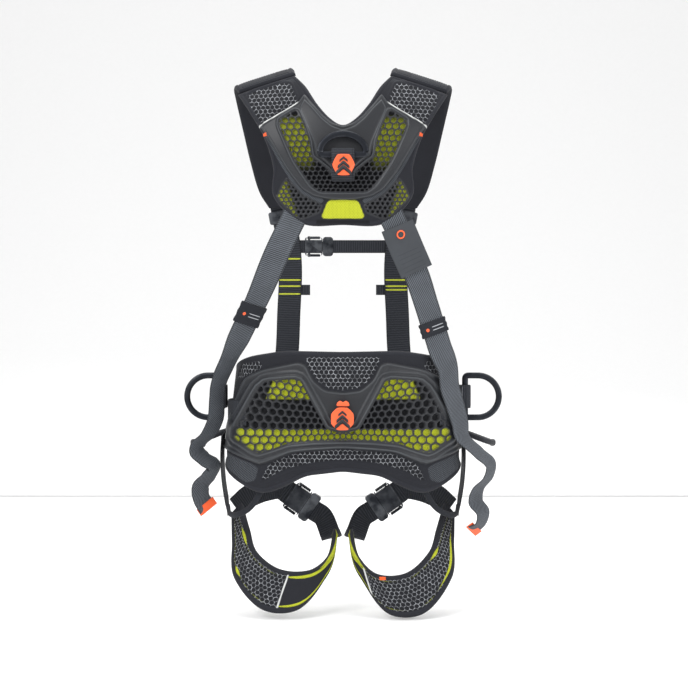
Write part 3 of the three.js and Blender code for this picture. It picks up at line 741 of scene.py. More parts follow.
# ------------------------------------------------------------------ the padded back of the waist
WAIST_TOP = ((0, 121), (45, 123), (70, 112), (90, 96), (110, 58), (126, 34))
WAIST_BOTTOM = ((0, -90), (30, -98), (45, -120), (57, -135), (73, -110), (90, -86), (110, -52), (126, -30))
WAIST_SHELL = both_sides([
    (0, 50), (-30, 54), (-50, 72), (-62, 98), (-75, 103), (-134, 90), (-166, 73), (-200, -20), (-208, -34),
    (-206, -56), (-142, -80), (-126, -75), (-84, -56), (0, -48)])
WAIST_WINDOW = both_sides([
    (0, -21), (-27, -14), (-40, 10), (-57, 43), (-73, 75), (-137, 69), (-189, -34), (-145, -62), (-120, -53),
    (-93, -42), (-51, -37), (0, -35)])
WAIST_UPPER_NET = both_sides([(0, 112), (-64, 112), (-58, 92), (-44, 70), (-24, 57), (0, 54)])
WAIST_LOWER_NET = both_sides([(0, -50), (-84, -58), (-126, -77), (-142, -111), (-101, -86), (-51, -73), (0, -68)])
WAIST_SIDE_NET = [(-180, 70), (-172, 98), (-141, 104), (-137, 92), (-166, 76)]
WAIST_RIBS = [(-206, -62), (-144, -84), (-150, -108), (-168, -114), (-205, -86)]


def holes(window, p, q):
    """1 in each hole of a honeycomb and 0 on its lattice and outside the window. p and q count cells each way."""
    return ease(0.415, 0.35, cell_distance(p, q)) * ease(-1.2, -3.2, window)


def edge_round(distance, radius):
    """0 on an edge and 1 from radius inwards, as a quarter circle."""
    t = np.clip(distance / radius, 0, 1)
    return np.sqrt(1 - (1 - t) ** 2)


def waist_relief(x, z, border_gap, depth):
    """The height over the body and the marks of the waist pad, from distances to its outlines."""
    side = np.abs(x)
    shell = outline_distance(x, z, WAIST_SHELL)
    window = outline_distance(x, z, WAIST_WINDOW)
    upper = outline_distance(x, z, WAIST_UPPER_NET)
    lower = outline_distance(x, z, WAIST_LOWER_NET)
    patch = outline_distance(-side, z, WAIST_SIDE_NET)
    ribs = outline_distance(-side, z, WAIST_RIBS)
    middle_pitch = bpy.context.scene.saddle_sizes.hole_pitch / MM
    growth = 0.037
    pitch = middle_pitch + growth * side
    hole = holes(window, np.sign(x) * np.log(pitch / middle_pitch) / growth, (z + 10) / pitch)
    on_shell = ease(1.2, -1.2, shell)
    height = 13 + 1.2 * bump(upper, 9, 9) * (z < 100)
    height = height + on_shell * 5.2
    height += 2.6 * bump(window, 3.6, 3.8) * (1 - hole) + 1.5 * bump(window, 12, 3.0) * ease(9, 11, -shell + window)
    height += 1.4 * bump(shell, -3.6, 3.6) * ease(0, 6, window)
    height += 1.3 * bump(lower, 5, 5) + 0.9 * bump(lower, 11, 2.5)
    height -= 2.2 * ease(1, -3, upper) + 3.4 * ease(1, -3, lower) * (1 - on_shell)
    height -= 1.2 * ease(1, -2, patch) + 0.6 * ease(1, -2, ribs)
    height += 0.9 * np.sin((x + z * 0.2) * 2 * math.pi / 6.5) * ease(0, -3, ribs)
    lattice = ease(0, -2, window)
    height = height * (1 - hole) + 11.2 * hole - 0.5 * lattice * (1 - hole)
    seam = np.abs(border_gap - 9)
    height += 0.9 * bump(border_gap, 4, 4) - 0.8 * ease(1.6, 0, seam)
    height = depth * 0.35 + (height - depth * 0.35) * edge_round(border_gap + 0.4, 7)
    lit_top = ease(36, 39, z) * ease(133, 129, side + 0.4 * (z - 38)) + ease(-13, -15, z + side * 0.02)
    marks = {
        "shell": on_shell * (1 - hole),
        "lime": hole * np.clip(lit_top, 0, 1),
        "dark": hole * (1 - np.clip(lit_top, 0, 1)),
        "net": np.maximum.reduce([
            ease(0.5, -0.5, upper), ease(0.5, -0.5, lower) * (1 - on_shell), ease(0.5, -0.5, patch)]),
        "rib": ease(0.5, -0.5, ribs),
        "trim": ease(8.6, 8, border_gap),
        # Crests of the window and shell rims, where the shell's painted highlight goes.
        "wear_and_rim_highlight": (1 - hole) * np.clip(
            bump(window, 3.4, 2) + 0.7 * bump(shell, -3.4, 2) + 0.6 * bump(window, 12, 2), 0, 1),
    }
    return height, marks


def build_waist_pad():
    """The hip ring over the pad's reach, lifted along its normal by the relief."""
    nu, nv, k = 473, 157, 4
    share = np.linspace(-1, 1, nu)
    degrees = PAD_REACH * np.sign(share) * (0.72 * np.abs(share) + 0.28 * np.abs(share) ** 3)
    top = np.interp(np.abs(degrees), *zip(*WAIST_TOP))
    bottom = np.interp(np.abs(degrees), *zip(*WAIST_BOTTOM))
    soft = np.hanning(47) / np.hanning(47).sum()
    top, bottom = (np.convolve(np.pad(t, 23, mode="edge"), soft, mode="valid") for t in (top, bottom))
    v = np.linspace(0, 1, nv)[None, :]
    z = bottom[:, None] + (top - bottom)[:, None] * v
    base = hip(np.radians(degrees)[:, None] + 0 * v, z)
    lift = normals(base, (0, 0, 0))
    along = run_along(base[:, nv // 2])
    end_gap = np.minimum(along, along[-1] - along) + 0 * v
    gap = np.minimum(np.minimum((z - bottom[:, None]), (top[:, None] - z)), end_gap)
    height, marks = waist_relief(base[..., 0], z, gap, 12)
    front = base + lift * height[..., None]
    back = (base + lift * (0.4 + 3 * (1 - edge_round(gap, 8)))[..., None])[::k, ::k]
    uv = rows(along + 0 * v, z)
    obj = slab("waist_back_pad", front, back, uv, marks)
    return finish_with(obj, cover(), "trunk", "foam", "waist_pad", "waist_spacer", "waist_shell")


# ------------------------------------------------------------------ the yoke between the shoulders
YOKE_INNER = [(-84, 612), (-66, 592), (-46, 560), (-28, 538), (-15, 527), (-6, 522), (0, 521)]
YOKE_OUTER = [(-188, 584), (-160, 540), (-138, 500), (-122, 446), (-122, 398), (-72, 348), (0, 345)]
YOKE_SHELL = both_sides([
    (0, 516), (-18, 522), (-34, 535), (-52, 556), (-66, 574), (-78, 557), (-144, 521), (-129, 500), (-94, 439),
    (-70, 407), (-49, 394), (-23, 389), (0, 388)])
YOKE_WINDOW = both_sides([
    (0, 423), (-14, 425), (-23, 442), (-39, 455), (-52, 465), (-56, 492), (-64, 516), (-78, 548), (-114, 527),
    (-84, 458), (-55, 413), (-39, 402), (0, 402)])
YOKE_PLATE = both_sides([
    (0, 512), (-18, 518), (-34, 531), (-50, 550), (-66, 566), (-76, 547), (-62, 515), (-51, 489), (-46, 466),
    (-34, 458), (0, 424)])
YOKE_SHOULDER_NET = [(-168, 582), (-94, 599), (-78, 562), (-110, 541), (-144, 525), (-158, 541)]
YOKE_BAND = [(-131, 506), (-102, 452), (-81, 418), (-60, 397), (-39, 388)]
YOKE_PIPING = [(-146, 519), (-110, 538), (-76, 558)]
YOKE_LOBE = [(-117, 394), (-108, 416), (-97, 431), (-70, 400), (-34, 381), (-39, 365), (-76, 351)]
YOKE_LIME = both_sides([(0, 388), (-26, 388), (-38, 356), (0, 356)])


def yoke_relief(x, z, gap):
    """The height over the back and the marks of the yoke, from distances to its outlines."""
    side = -np.abs(x)
    shell = outline_distance(x, z, YOKE_SHELL)
    window = outline_distance(x, z, YOKE_WINDOW)
    plate = outline_distance(x, z, YOKE_PLATE)
    net = outline_distance(side, z, YOKE_SHOULDER_NET)
    lobe = outline_distance(side, z, YOKE_LOBE)
    lime = outline_distance(x, z, YOKE_LIME)
    band = line_distance(side, z, YOKE_BAND)
    piping = line_distance(side, z, YOKE_PIPING)
    pitch = 8.2 + 0.034 * np.maximum(z - 405, -20)
    hole = holes(window, x / pitch, np.log(pitch / 8.2) / 0.034)
    lobe_hole = ease(0.34, 0.28, cell_distance(x / 8.5, z / 8.5)) * ease(-2.5, -4, lobe)
    on_shell = ease(1.2, -1.2, shell)
    height = 11 + on_shell * 5.2
    height += 1.9 * bump(window, 2.4, 2.6) * (1 - hole) + 1.1 * bump(shell, -2.6, 2.6) * ease(0, 5, window)
    height += 2.4 * ease(0, -6, plate) + 0.6 * bump(plate, -3, 1.8)
    height = np.where(lobe < 0, np.maximum(height, 11 + 3.4 * ease(0, -5, lobe)), height)
    height += 1.2 * ease(5.6, 4.4, band) * (1 - on_shell) + 1.6 * ease(2.2, 0, piping)
    height += 0.6 * ease(1, -1, lime) - 1.2 * ease(0, -2.5, net) + 1.2 * bump(net, 3.5, 3.5) * (1 - on_shell)
    open_ = np.maximum(hole, lobe_hole)
    height = height * (1 - open_) + (10.2 * hole + 9.8 * lobe_hole * (1 - hole))
    height += 0.8 * bump(gap, 4, 4) - 0.7 * ease(1.5, 0, np.abs(gap - 8.5))
    height = 4 + (height - 4) * edge_round(gap + 0.4, 6)
    height = np.where((np.abs(x) < 55) & (z > 424) & (z < 516), np.minimum(height, 19.2), height)
    arms = ease(438, 470, z) * ease(540, 522, z) * ease(-46, -58, side)
    ends = ease(596, 600, z) * (1 - ease(1, -1, net))
    outer_lobe = ease(-84, -94, side + (z - 390) * 0.3)
    marks = {
        "shell": np.maximum(on_shell, ease(1, -1, lobe)) * (1 - open_),
        "lime": np.clip(hole * 0.62 * arms + 0.75 * lobe_hole * outer_lobe + ease(0.6, -0.6, lime), 0, 1),
        "dark": np.maximum.reduce([
            lobe_hole * (1 - outer_lobe), hole * (1 - arms), bump(z, 350, 7) * (np.abs(x) < 46)]),
        "net": ease(0.5, -0.5, net),
        "rib": 0.25 * ends,
        "band": ease(5.4, 4.8, band) * (1 - on_shell),
        "trim": ease(8, 7.4, gap),
        "white": ease(1.7, 1.1, piping) * ease(-148, -144, side) * ease(-74, -80, side),
        "orange": (np.abs(side + 135) < 4) * (np.abs(z - 505) < 2.4),
        # Crests of the window, shell and plate rims, where the shell's painted highlight goes.
        "wear_and_rim_highlight": (1 - open_) * np.clip(
            bump(window, 2.2, 1.4) + 0.6 * bump(shell, -2.4, 1.5) + bump(plate, -3, 1.4), 0, 1),
    }
    return height, marks


def build_yoke():
    """A band between an inner and an outer edge, laid on the upper back and lifted by the relief."""
    nu, nv, k = 481, 145, 4
    u = np.linspace(0, 1, nu)
    inner = through(YOKE_INNER + on_side(YOKE_INNER[-2::-1], RIGHT), u)
    outer = through(YOKE_OUTER + on_side(YOKE_OUTER[-2::-1], RIGHT), u)
    v = np.linspace(0, 1, nv)[None, :, None]
    flat = inner[:, None] * (1 - v) + outer[:, None] * v
    x, z = flat[..., 0], flat[..., 1]
    base = upper_back(x, z)
    lift = normals(base, (0, 60, 430))
    run = np.linalg.norm(outer - inner, axis=1)[:, None]
    v = v[..., 0]
    ends = run_along((inner + outer) / 2)
    gap = np.minimum(np.minimum(v * run, (1 - v) * run), np.minimum(ends, ends[-1] - ends) + 0 * v)
    height, marks = yoke_relief(x, z, gap)
    front = base + lift * height[..., None]
    back = (base + lift * (0.4 + 2.6 * (1 - edge_round(gap, 7)))[..., None])[::k, ::k]
    obj = slab("yoke_back_pad", front, back, rows(x, z), marks)
    nodes = ["yoke_pad", "yoke_spacer", "yoke_shell", "yoke_trim_band", "yoke_lime_panel", "dorsal_plate"]
    nodes += [f"yoke_lobe_{NAME[s]}" for s in (LEFT, RIGHT)]
    return finish_with(obj, cover(), "trunk", "foam", *nodes)


# ------------------------------------------------------------------ badges
def back_place(y):
    """Carries (x, z, height) to a plane that faces backwards at y."""
    return lambda p: rows(p[:, 0], y - p[:, 2], p[:, 1])


def rounded(corners, inset=0.16, rounds=3):
    """A closed outline whose corners are cut again and again until they are round."""
    c = np.asarray(corners, float)
    for _ in range(rounds):
        after = np.roll(c, -1, axis=0)
        c = np.stack([c * (1 - inset) + after * inset, c * inset + after * (1 - inset)], axis=1).reshape(-1, 2)
        inset = 0.25
    return c


def shifted(outline, x, z, scale=1.0):
    """An outline scaled about its origin and moved to x, z."""
    return np.asarray(outline, float) * scale + (x, z)


BADGE_OUTLINE = [(-20, -9), (-9, -20), (9, -20), (20, -9), (20, 9), (9, 20), (-9, 20), (-20, 9)]
YOKE_BADGE_OUTLINE = [(-20.5, 0), (-11, -18.5), (11, -18.5), (20.5, 0), (11, 18.5), (-11, 18.5)]
BADGE_CAP = [(-12, 26), (12, 26), (10, 33), (5, 36), (0, 33), (-5, 36), (-10, 33)]
CHEVRON = [(-9, -4), (0, 4), (9, -4), (9, -9), (0, -1), (-9, -9)]


def build_badge(name, outline, y, middle, node, cap=None):
    """A soft-moulded badge with a raised border and three chevrons like a fir tree."""
    levels = [(1.0, 0.0), (0.0, 0.8), (0.0, 2.2), (0.7, 3.0), (2.6, 3.1), (3.2, 2.3), (5, 2.3)]
    plate = stacked(f"{name}_plate", rounded(outline, 0.12, 2), levels, back_place(y))
    finish_with(plate, badge_orange(), "trunk", "badge", node)
    marks = []
    for i, size in enumerate((0.8, 1.15, 1.5)):
        mark = shifted(CHEVRON, middle[0], middle[1] + 11.5 - 8.6 * i, size)
        raised = [(0.0, 2.0), (0.0, 3.3), (0.5, 3.6)]
        marks.append(stacked(f"{name}_mark_{i}", rounded(mark, 0.1, 1), raised, back_place(y)))
    if cap is not None:
        tab = stacked(f"{name}_cap", rounded(cap), [(0.5, 0.0), (0.0, 0.8), (0.0, 2.4), (0.8, 3.0)], back_place(y + 1))
        finish_with(tab, badge_orange(), "trunk", "badge")
    emblem = joined(f"{name}_emblem", marks)
    return finish_with(emblem, badge_black(), "trunk", "badge")


def joined(name, objects):
    """One mesh from several."""
    for o in bpy.context.selected_objects:
        o.select_set(False)
    for o in objects:
        o.select_set(True)
    bpy.context.view_layer.objects.active = objects[0]
    bpy.ops.object.join()
    objects[0].name = objects[0].data.name = name
    return objects[0]


# ------------------------------------------------------------------ rings and machined hardware
def d_outline(width, reach, bar):
    """The middle line of a D ring about its base bar: the bar, two straight sides and a half circle."""
    half = (width - bar) / 2
    centre = max(reach - bar - half, 4)
    arc = np.linspace(0, math.pi, 41)
    top = rows(half * np.cos(arc), 0 * arc, centre + (reach - bar - centre) * np.sin(arc))
    corner = np.linspace(math.pi, 1.5 * math.pi, 9)
    radius = 5.5
    left = rows(-half + radius + radius * np.cos(corner), 0 * corner, radius + radius * np.sin(corner))
    right = (left * (-1, 1, 1))[::-1]
    return even(np.concatenate([top, left, right]), 132, closed=True)


def build_ring(node, width, reach, bar, thick, place, body):
    """A D ring: an oval section round the middle line, whose faces are flattened."""
    line = place(d_outline(width, reach, bar))
    middle = line.mean(axis=0)
    normal = unit(np.cross(line[40] - middle, line[0] - middle))
    section = round_profile(thick / 2 - 0.1, bar / 2 - 0.1, 24, 2.9)
    obj = swept(f"{node}_forged", line, normal, section, closed=True)
    return finish_with(obj, anodised(), body, "ring", node)


def body_of(node):
    """The body that a CAD node rides on."""
    bodies = frame["record"]["behaviour"]["bodies"]
    return next(body for body, nodes in bodies.items() if node in nodes)


def machined(node, material, slot, edge=0.55):
    """A copy of a CAD piece with its loose triangles merged and its edges broken."""
    mesh = frame["nodes"][node].data.copy()
    obj = bpy.data.objects.new(f"{node}_machined", mesh)
    bpy.context.scene.collection.objects.link(obj)
    work = bmesh.new()
    work.from_mesh(mesh)
    bmesh.ops.remove_doubles(work, verts=work.verts, dist=0.00002)
    bmesh.ops.dissolve_limit(work, angle_limit=math.radians(2), verts=work.verts, edges=work.edges)
    for face in work.faces:
        face.smooth = True
    work.to_mesh(mesh)
    work.free()
    obj.data.name = obj.name
    modifier(obj, "BEVEL", width=edge * MM, segments=2, limit_method="ANGLE", angle_limit=math.radians(32),
             use_clamp_overlap=True)
    modifier(obj, "WEIGHTED_NORMAL")
    return finish_with(obj, material, body_of(node), slot, node)


# ------------------------------------------------------------------ webbing
SHOULDER_INNER = [(-84, -61, 617), (-88, -30, 630), (-92, -2, 634), (-98, 45, 612), (-104, 86, 545), (-102, 106, 480),
                  (-97, 112, 425), (-100, 114, 396)]
SHOULDER_OUTER = [(-187, -38, 588), (-194, -24, 597), (-200, 2, 600), (-199, 40, 585), (-189, 80, 535), (-176, 100, 478),
                  (-160, 108, 425), (-142, 112, 396)]
FRONT_LINE = [(-124, 133, 430), (-118, 133, 398), (-112, 133, 366), (-106, 133, 334), (-102, 133.5, 280),
              (-105, 135, 200), (-111, 136, 100)]


def front_foot(side):
    """Where a front strap meets the belt, just outside it, at two heights."""
    foot = outside_hip(np.array(side * front_turn(120, 11)), 11, 22.3)
    return [(foot[0], foot[1], 45), (foot[0], foot[1], -4)]


def build_shoulder_pad(side):
    """A pad between two edges that go over the shoulder: an outer ribbed border round a net, with a stitched line."""
    nu, nv, k = 241, 81, 4
    u, v = np.linspace(0, 1, nu), np.linspace(0, 1, nv)[None, :, None]
    inner, outer = (through(on_side(p, side), u)[:, None] for p in (SHOULDER_INNER, SHOULDER_OUTER))
    base = inner * (1 - v) + outer * v
    lift = normals(base, (0, 0, 430))
    run = np.linalg.norm(outer - inner, axis=2)
    along = run_along(base[:, nv // 2])
    v = v[..., 0]
    gap = np.minimum(np.minimum(v * run, (1 - v) * run), np.minimum(along, along[-1] - along) + 0 * v)
    across = v * run
    height = 9.6 + 1.0 * ease(0, 30, gap) + 0.8 * bump(gap, 4, 4) - 0.9 * ease(1.6, 0, np.abs(gap - 9))
    height -= 0.7 * ease(1.6, 0, np.abs(across - 34))
    height += 0.35 * np.sin(across * 2 * math.pi / 4.4) * ease(34, 36, across)
    height = 4 + (height - 4) * edge_round(gap + 0.4, 6)
    marks = {
        "net": ease(34, 33, across) * ease(9, 10, gap) * ease(0.2, 0.26, u[:, None]),
        "trim": ease(8.6, 8, gap),
        "rib": ease(36, 37, across) * 0.25,
    }
    front = base + lift * height[..., None]
    back = (base + lift * (0.4 + 2.4 * (1 - edge_round(gap, 7)))[..., None])[::k, ::k]
    obj = slab(f"shoulder_cover_{NAME[side]}", front, back, rows(across, along + 0 * v), marks)
    return finish_with(obj, cover(), "trunk", "foam", f"shoulder_pad_{NAME[side]}")


def bar_tack(name, middle, across, along, out, length=43.0, width=2.6, thick=0.7):
    """A raised row of stitches across a strap: a long rounded lozenge laid on it."""
    u = np.linspace(-1, 1, 25)
    path = np.asarray(middle, float) + u[:, None] * np.asarray(across, float) * length / 2
    path = path + np.asarray(out, float) * thick / 2
    profile = round_profile(width / 2, thick / 2, 10)
    return swept(name, path, unit(np.asarray(along, float)), profile, taper=1 - 0.5 * np.abs(u) ** 8)


def build_front_straps(side):
    """One front strap with its stitches and tab, from the shoulder pad to the belt."""
    tag = NAME[side]
    path = on_side(FRONT_LINE, side) + front_foot(side)
    slant = [(1, 0, 0)] * 6 + [(1, -0.12 * side, 0)] + [(1, -0.27 * side, 0)] * 2
    strap_obj = strap(f"front_webbing_{tag}", path, slant)
    finish_with(strap_obj, webbing(), "trunk", "webbing", f"front_strap_{tag}")
    machined(f"front_adjuster_{tag}", anodised(), "buckle", 0.7)
    heights = (300, 259, 247, 232) if side == LEFT else (259, 247, 240)
    bars = []
    for i, z in enumerate(heights):
        x = np.interp(z, (200, 280, 334), (105, 102, 106)) * side
        y = np.interp(z, (200, 280, 334), (135, 133.5, 133)) - 1.1
        bars.append(bar_tack(f"bar_{tag}_{i}", (x, y, z), (1, 0, 0), (0, 0, 1), (0, -1, 0), 42, 3.2, 0.9))
    finish_with(joined(f"front_tacks_{tag}", bars), lime_thread(), "trunk", "webbing")
    u = np.linspace(0, 1, 14)
    tab = rows(side * (108 - 44 * u), 136.6 + 0.6 * np.sin(u * 3), 240 + 0 * u)
    tab_obj = swept(f"lanyard_tab_{tag}", tab, (0, 0, 1), webbing_profile(20, 2.0))
    return finish_with(tab_obj, narrow_webbing(), "trunk", "webbing")


def build_chest():
    """The chest strap and its buckle."""
    y = 136
    for side, start, end in ((LEFT, -122, -69.5), (RIGHT, -32, 124)):
        u = np.linspace(0, 1, 60)[:, None]
        path = np.array([start, y, 324.0]) * (1 - u) + np.array([end, y, 324.0]) * u
        obj = swept(f"chest_webbing_{NAME[side]}", path, (0, 0, 1), webbing_profile(25, 2.2))
        finish_with(obj, narrow_webbing(), "trunk", "webbing", f"chest_strap_{NAME[side]}")
    for piece in ("socket", "tongue", "lever_upper", "lever_lower"):
        machined(f"chest_buckle_{piece}", anodised(), "buckle")


def straight(a, b, share):
    """The point at a share of the way from a to b."""
    return tuple(np.array(a) * (1 - share) + np.array(b) * share)


LEFT_RUN = ((-150, -112, 218), (-184, -92, 150))
RIGHT_RUN = ((148, -113, 204), (174, -99, 124))
LEFT_ACROSS, RIGHT_ACROSS = (0.9, 0.2, 0.4), (0.9, 0.25, 0.3)


def back_strap_route(side):
    """The points and widths of a back strap, from under the yoke past the side ring to its loose tail."""
    a, b = LEFT_RUN if side == LEFT else RIGHT_RUN
    run = [a, straight(a, b, 0.33), straight(a, b, 0.67), b]
    sewn_in = [tuple(upper_back(side * x, z) - (0, 5.5, 0)) for x, z in ((68.0, 396.0), (80.0, 372.0))]
    if side == LEFT:
        path = [*sewn_in, (-96, -127, 338), (-114, -129, 300), *run, (-200, -80, 117), (-216, -62, 86), (-226, -52, 60),
                (-229, -50, 36), (-231, -50, 0), (-244, -50, -28), (-262, -48, -46), (-266, -46, -58),
                (-252, -42, -74), (-236, -36, -88), (-245, -36, -106), (-259, -38, -124), (-258, -38, -146),
                (-245, -36, -166)]
        widths = [*[(0.85, -0.1, -0.5)] * 3, (0.9, 0, -0.2), *[LEFT_ACROSS] * 4, (0.85, 0.5, 0.3), (0.75, 0.65, 0.2),
                  (0.6, 0.8, 0.1), (0.55, 0.85, 0), *[(0.6, 0.8, 0)] * 3, (0.5, 0.85, 0.2), (0.45, 0.85, 0.2),
                  (0.5, 0.85, 0.1), (0.6, 0.8, 0), (0.65, 0.75, 0), (0.6, 0.8, 0.1), (0.7, 0.7, 0.2)]
        return path, widths
    beside = [(math.radians(d), z) for d, z in ((70, 58), (73, 26), (76, -6), (78, -34))]
    path = [*sewn_in, (96, -127, 338), (112, -129, 300), (132, -121, 252), *run, (187, -88, 94),
            *[tuple(outside_hip(np.array(t), z, 30)) for t, z in beside], (246, -52, -62), (268, -48, -84),
            (264, -44, -108), (246, -40, -130), (242, -38, -152), (255, -40, -172), (250, -38, -194), (234, -36, -206)]
    widths = [*[(0.85, 0.1, 0.5)] * 3, (0.9, 0, 0.4), (0.9, 0.1, 0.3), *[RIGHT_ACROSS] * 4, (0.8, 0.5, 0.2),
              (0.8, 0.6, 0.1), (0.75, 0.65, 0.1), (0.7, 0.7, 0), (0.65, 0.75, 0), (0.55, 0.8, 0.1),
              (0.5, 0.85, 0.1), (0.5, 0.85, 0), (0.6, 0.8, 0), (0.65, 0.75, 0.1), (0.6, 0.8, 0.1),
              (0.55, 0.8, 0), (0.7, 0.7, -0.2)]
    return path, widths


def build_back_strap(side):
    """One grey strap with its sliding keeper and its tagged tail."""
    tag = NAME[side]
    path, widths = back_strap_route(side)
    obj = strap(f"back_webbing_{tag}", path, widths)
    finish_with(obj, grey_webbing(), "trunk", "grey_webbing", f"back_strap_{tag}")
    a, b = LEFT_RUN if side == LEFT else RIGHT_RUN
    low, high = (0.2, 0.7) if side == LEFT else (0.35, 0.65)
    across = LEFT_ACROSS if side == LEFT else RIGHT_ACROSS
    u = np.linspace(low, high, 40)[:, None]
    line = np.array(a) * (1 - u) + np.array(b) * u
    swell = 1 + 0.02 * np.sin(np.linspace(0, 5 * math.pi, 40))
    outer = webbing_profile(52, 7.6, 15)
    band = swept(f"keeper_band_{tag}", line, across, outer, taper=swell)
    finish_with(band, elastic(), f"keeper_{tag}", "elastic", f"strap_keeper_{tag}")
    along = unit(np.array(b, float) - np.array(a))
    side_way = unit(np.array(across) - along * np.dot(across, along))
    out = unit(np.cross(along, side_way))
    out = -out if out[1] > 0 else out
    middle = line[20] + out * 3.8
    dot = swept(f"keeper_dot_{tag}", middle + side_way * -13 + along * np.linspace(-3, 3, 9)[:, None], side_way,
                round_profile(3.2, 0.5, 12), taper=np.sqrt(np.clip(1 - np.linspace(-0.97, 0.97, 9) ** 2, 0, 1)))
    finish_with(dot, badge_orange(), f"keeper_{tag}", "badge")
    rules = [bar_tack(f"rule_{tag}_{i}", middle + side_way * 7 + along * d, side_way, along, out, 22, 1.6, 0.4)
             for i, d in enumerate((-3.0, 3.0))]
    finish_with(joined(f"keeper_rules_{tag}", rules), grey_thread(), f"keeper_{tag}", "elastic")
    end = np.array(path[-1], float)
    back = unit(np.array(path[-1], float) - np.array(path[-2]))
    fold = end + back * np.linspace(-13, 1.5, 8)[:, None]
    tip = swept(f"strap_end_{tag}", fold, widths[-1], webbing_profile(46.5, 3.4))
    return finish_with(tip, badge_orange(), "trunk", "badge")


def build_label():
    """The label panel that wraps the right back strap, with a ring and plain rules."""
    path = [(95, -137, 343), (112, -135, 302), (130, -128, 262)]
    widths = [(0.8, 0.1, 0.5), (0.9, 0, 0.4), (0.9, 0.1, 0.3)]
    panel = strap("care_label", path, widths, 60, 1.5, 2.0)
    finish_with(panel, label_cloth(), "trunk", "rubber", "label_panel")
    a = np.linspace(0, 2 * math.pi, 48, endpoint=False)
    centre = np.array([101.5, -138.3, 327.0])
    side_way, along = unit(np.array([0.85, 0.1, 0.45])), unit(np.array([0.4, 0.05, -0.9]))
    ring = centre + 6.4 * (np.cos(a)[:, None] * side_way + np.sin(a)[:, None] * along)
    out = unit(np.cross(side_way, along))
    mark = swept("label_mark", ring, out, round_profile(0.4, 1.3, 8), closed=True)
    return finish_with(mark, badge_orange(), "trunk", "badge")


# ------------------------------------------------------------------ belt, side rings and gear loops
def build_belt():
    """The belt on each side, from under the shell's edge round to its buckle."""
    parts = []
    for side in (LEFT, RIGHT):
        last = front_turn(56, 11) if side == RIGHT else 2 * math.pi - front_turn(21, 11)
        turn = np.radians(66) + np.linspace(0, 1, 140) * (last - np.radians(66))
        off = 15.2 + 3.4 * ease(66, 76, np.degrees(turn))
        route = rows(*outside_hip(turn * side, np.full(140, 11.0), off[:, None]).T)
        parts.append(swept(f"belt_{NAME[side]}", route, (0, 0, 1), webbing_profile(45, 2.2)))
    obj = joined("waist_webbing", parts)
    finish_with(obj, webbing(), "trunk", "webbing", "waist_belt")
    for piece in ("socket", "tongue", "lever_upper", "lever_lower"):
        machined(f"waist_buckle_{piece}", anodised(), "buckle")


def build_side(side):
    """The hip ring, its webbing loop and the gear loop of one side."""
    tag = NAME[side]
    x, y, z = 226, 6, 38
    build_ring(f"side_ring_{tag}", 89, 74, 11.5, 10,
               lambda p: rows(side * (x + p[:, 2]), y + p[:, 1], z - side * p[:, 0]), f"side_ring_{tag}")
    near, far = x - 9.2, x + 9.5
    half = [(near, y - 30), (near + 1, y - 14), (x + 3, y - 10)]
    loop = [(side * a, b, z) for a, b in [*half, (far, y), *[(a, 2 * y - b) for a, b in reversed(half)]]]
    wrap = strap(f"ring_webbing_{tag}", loop, [(0, 0, 1)], 43, 2.2, 2.0)
    finish_with(wrap, webbing(), "trunk", "webbing", f"ring_loop_{tag}")
    tacks = [bar_tack(f"side_tack_{tag}_{i}", (side * (near + 1.1 + 0.1 * i), y - 27 + 4 * i, z), (0, 0, 1), (0, 1, 0),
                      (side, 0, 0), 38, 2.2, 0.8) for i in range(2)]
    finish_with(joined(f"ring_tacks_{tag}", tacks), grey_thread(), "trunk", "webbing")
    tube = [(212, 26, -24), (236, 18, -34), (266, 14, -45), (281, 42, -50), (266, 70, -45), (236, 76, -34),
            (206, 66, -24)]
    line = even([(side * a, b, c) for a, b, c in tube], 180)
    u = np.linspace(0, 1, 180)
    taper = 0.9 + 0.1 * np.sin(math.pi * u) ** 0.5 + 0.35 * bump(u, 0.5, 0.035) + 0.2 * bump(u, 0.45, 0.03)
    taper = taper + 0.03 * np.sin(u * 2 * math.pi * 26) * ease(0.1, 0.2, u) * ease(0.9, 0.8, u)
    loop_obj = swept(f"gear_tube_{tag}", line, (0, 0, 1), round_profile(5.0, 4.6, 16, 2.4), taper=taper)
    return finish_with(loop_obj, moulded(), f"gear_loop_{tag}", "rubber", f"gear_loop_{tag}")


def build_ventral():
    """The front ring and the webbing loop that holds it to the belt."""
    y, z = 144, -44
    build_ring("ventral_ring", 66, 54, 10, 10, lambda p: rows(p[:, 0], y + 10 - p[:, 1], z - p[:, 2]), "ventral_ring")
    back, front = y + 1, y + 19
    turns = np.radians([180, 225, 270, 315, 360])
    wrap = [(0, y + 10 + 9.6 * math.cos(a), z + 9.6 * math.sin(a)) for a in turns]
    path = [(0, back, 38), (0, back, 0), (0, back, z + 14), *wrap, (0, front - 2, z + 14), (0, back + 4.5, z + 38),
            (0, back + 4, 12), (0, back + 4, 38)]
    obj = strap("ventral_webbing", path, [(1, 0, 0)], 24, 2.2, 2.0)
    return finish_with(obj, narrow_webbing(), "trunk", "webbing", "ventral_loop")


def build_dorsal():
    """The back ring and its webbing loop, whose two ends run into the yoke."""
    surface = 22.5
    back = -BACK_DEPTH - surface
    y, z = back - 8.5, 466
    build_ring("dorsal_ring", 92, 48, 12, 8, lambda p: rows(p[:, 0], y + p[:, 1], z + p[:, 2]), "dorsal_ring")
    path = [(0, back + 4, z - 45), (0, back - 4, z - 43.5), (0, back - 11, z - 40), (0, y - 7.4, z - 34),
            (0, y - 8.6, z - 24), (0, y - 8.8, z - 8), (0, y - 8.2, z + 3), (0, y - 4.5, z + 9), (0, y + 2, z + 10.5),
            (0, back - 2, z + 9), (0, back + 4, z + 6)]
    obj = strap("dorsal_webbing", path, [(1, 0, 0)], 40, 2.2, 2.0)
    return finish_with(obj, webbing(), "trunk", "webbing", "dorsal_loop")


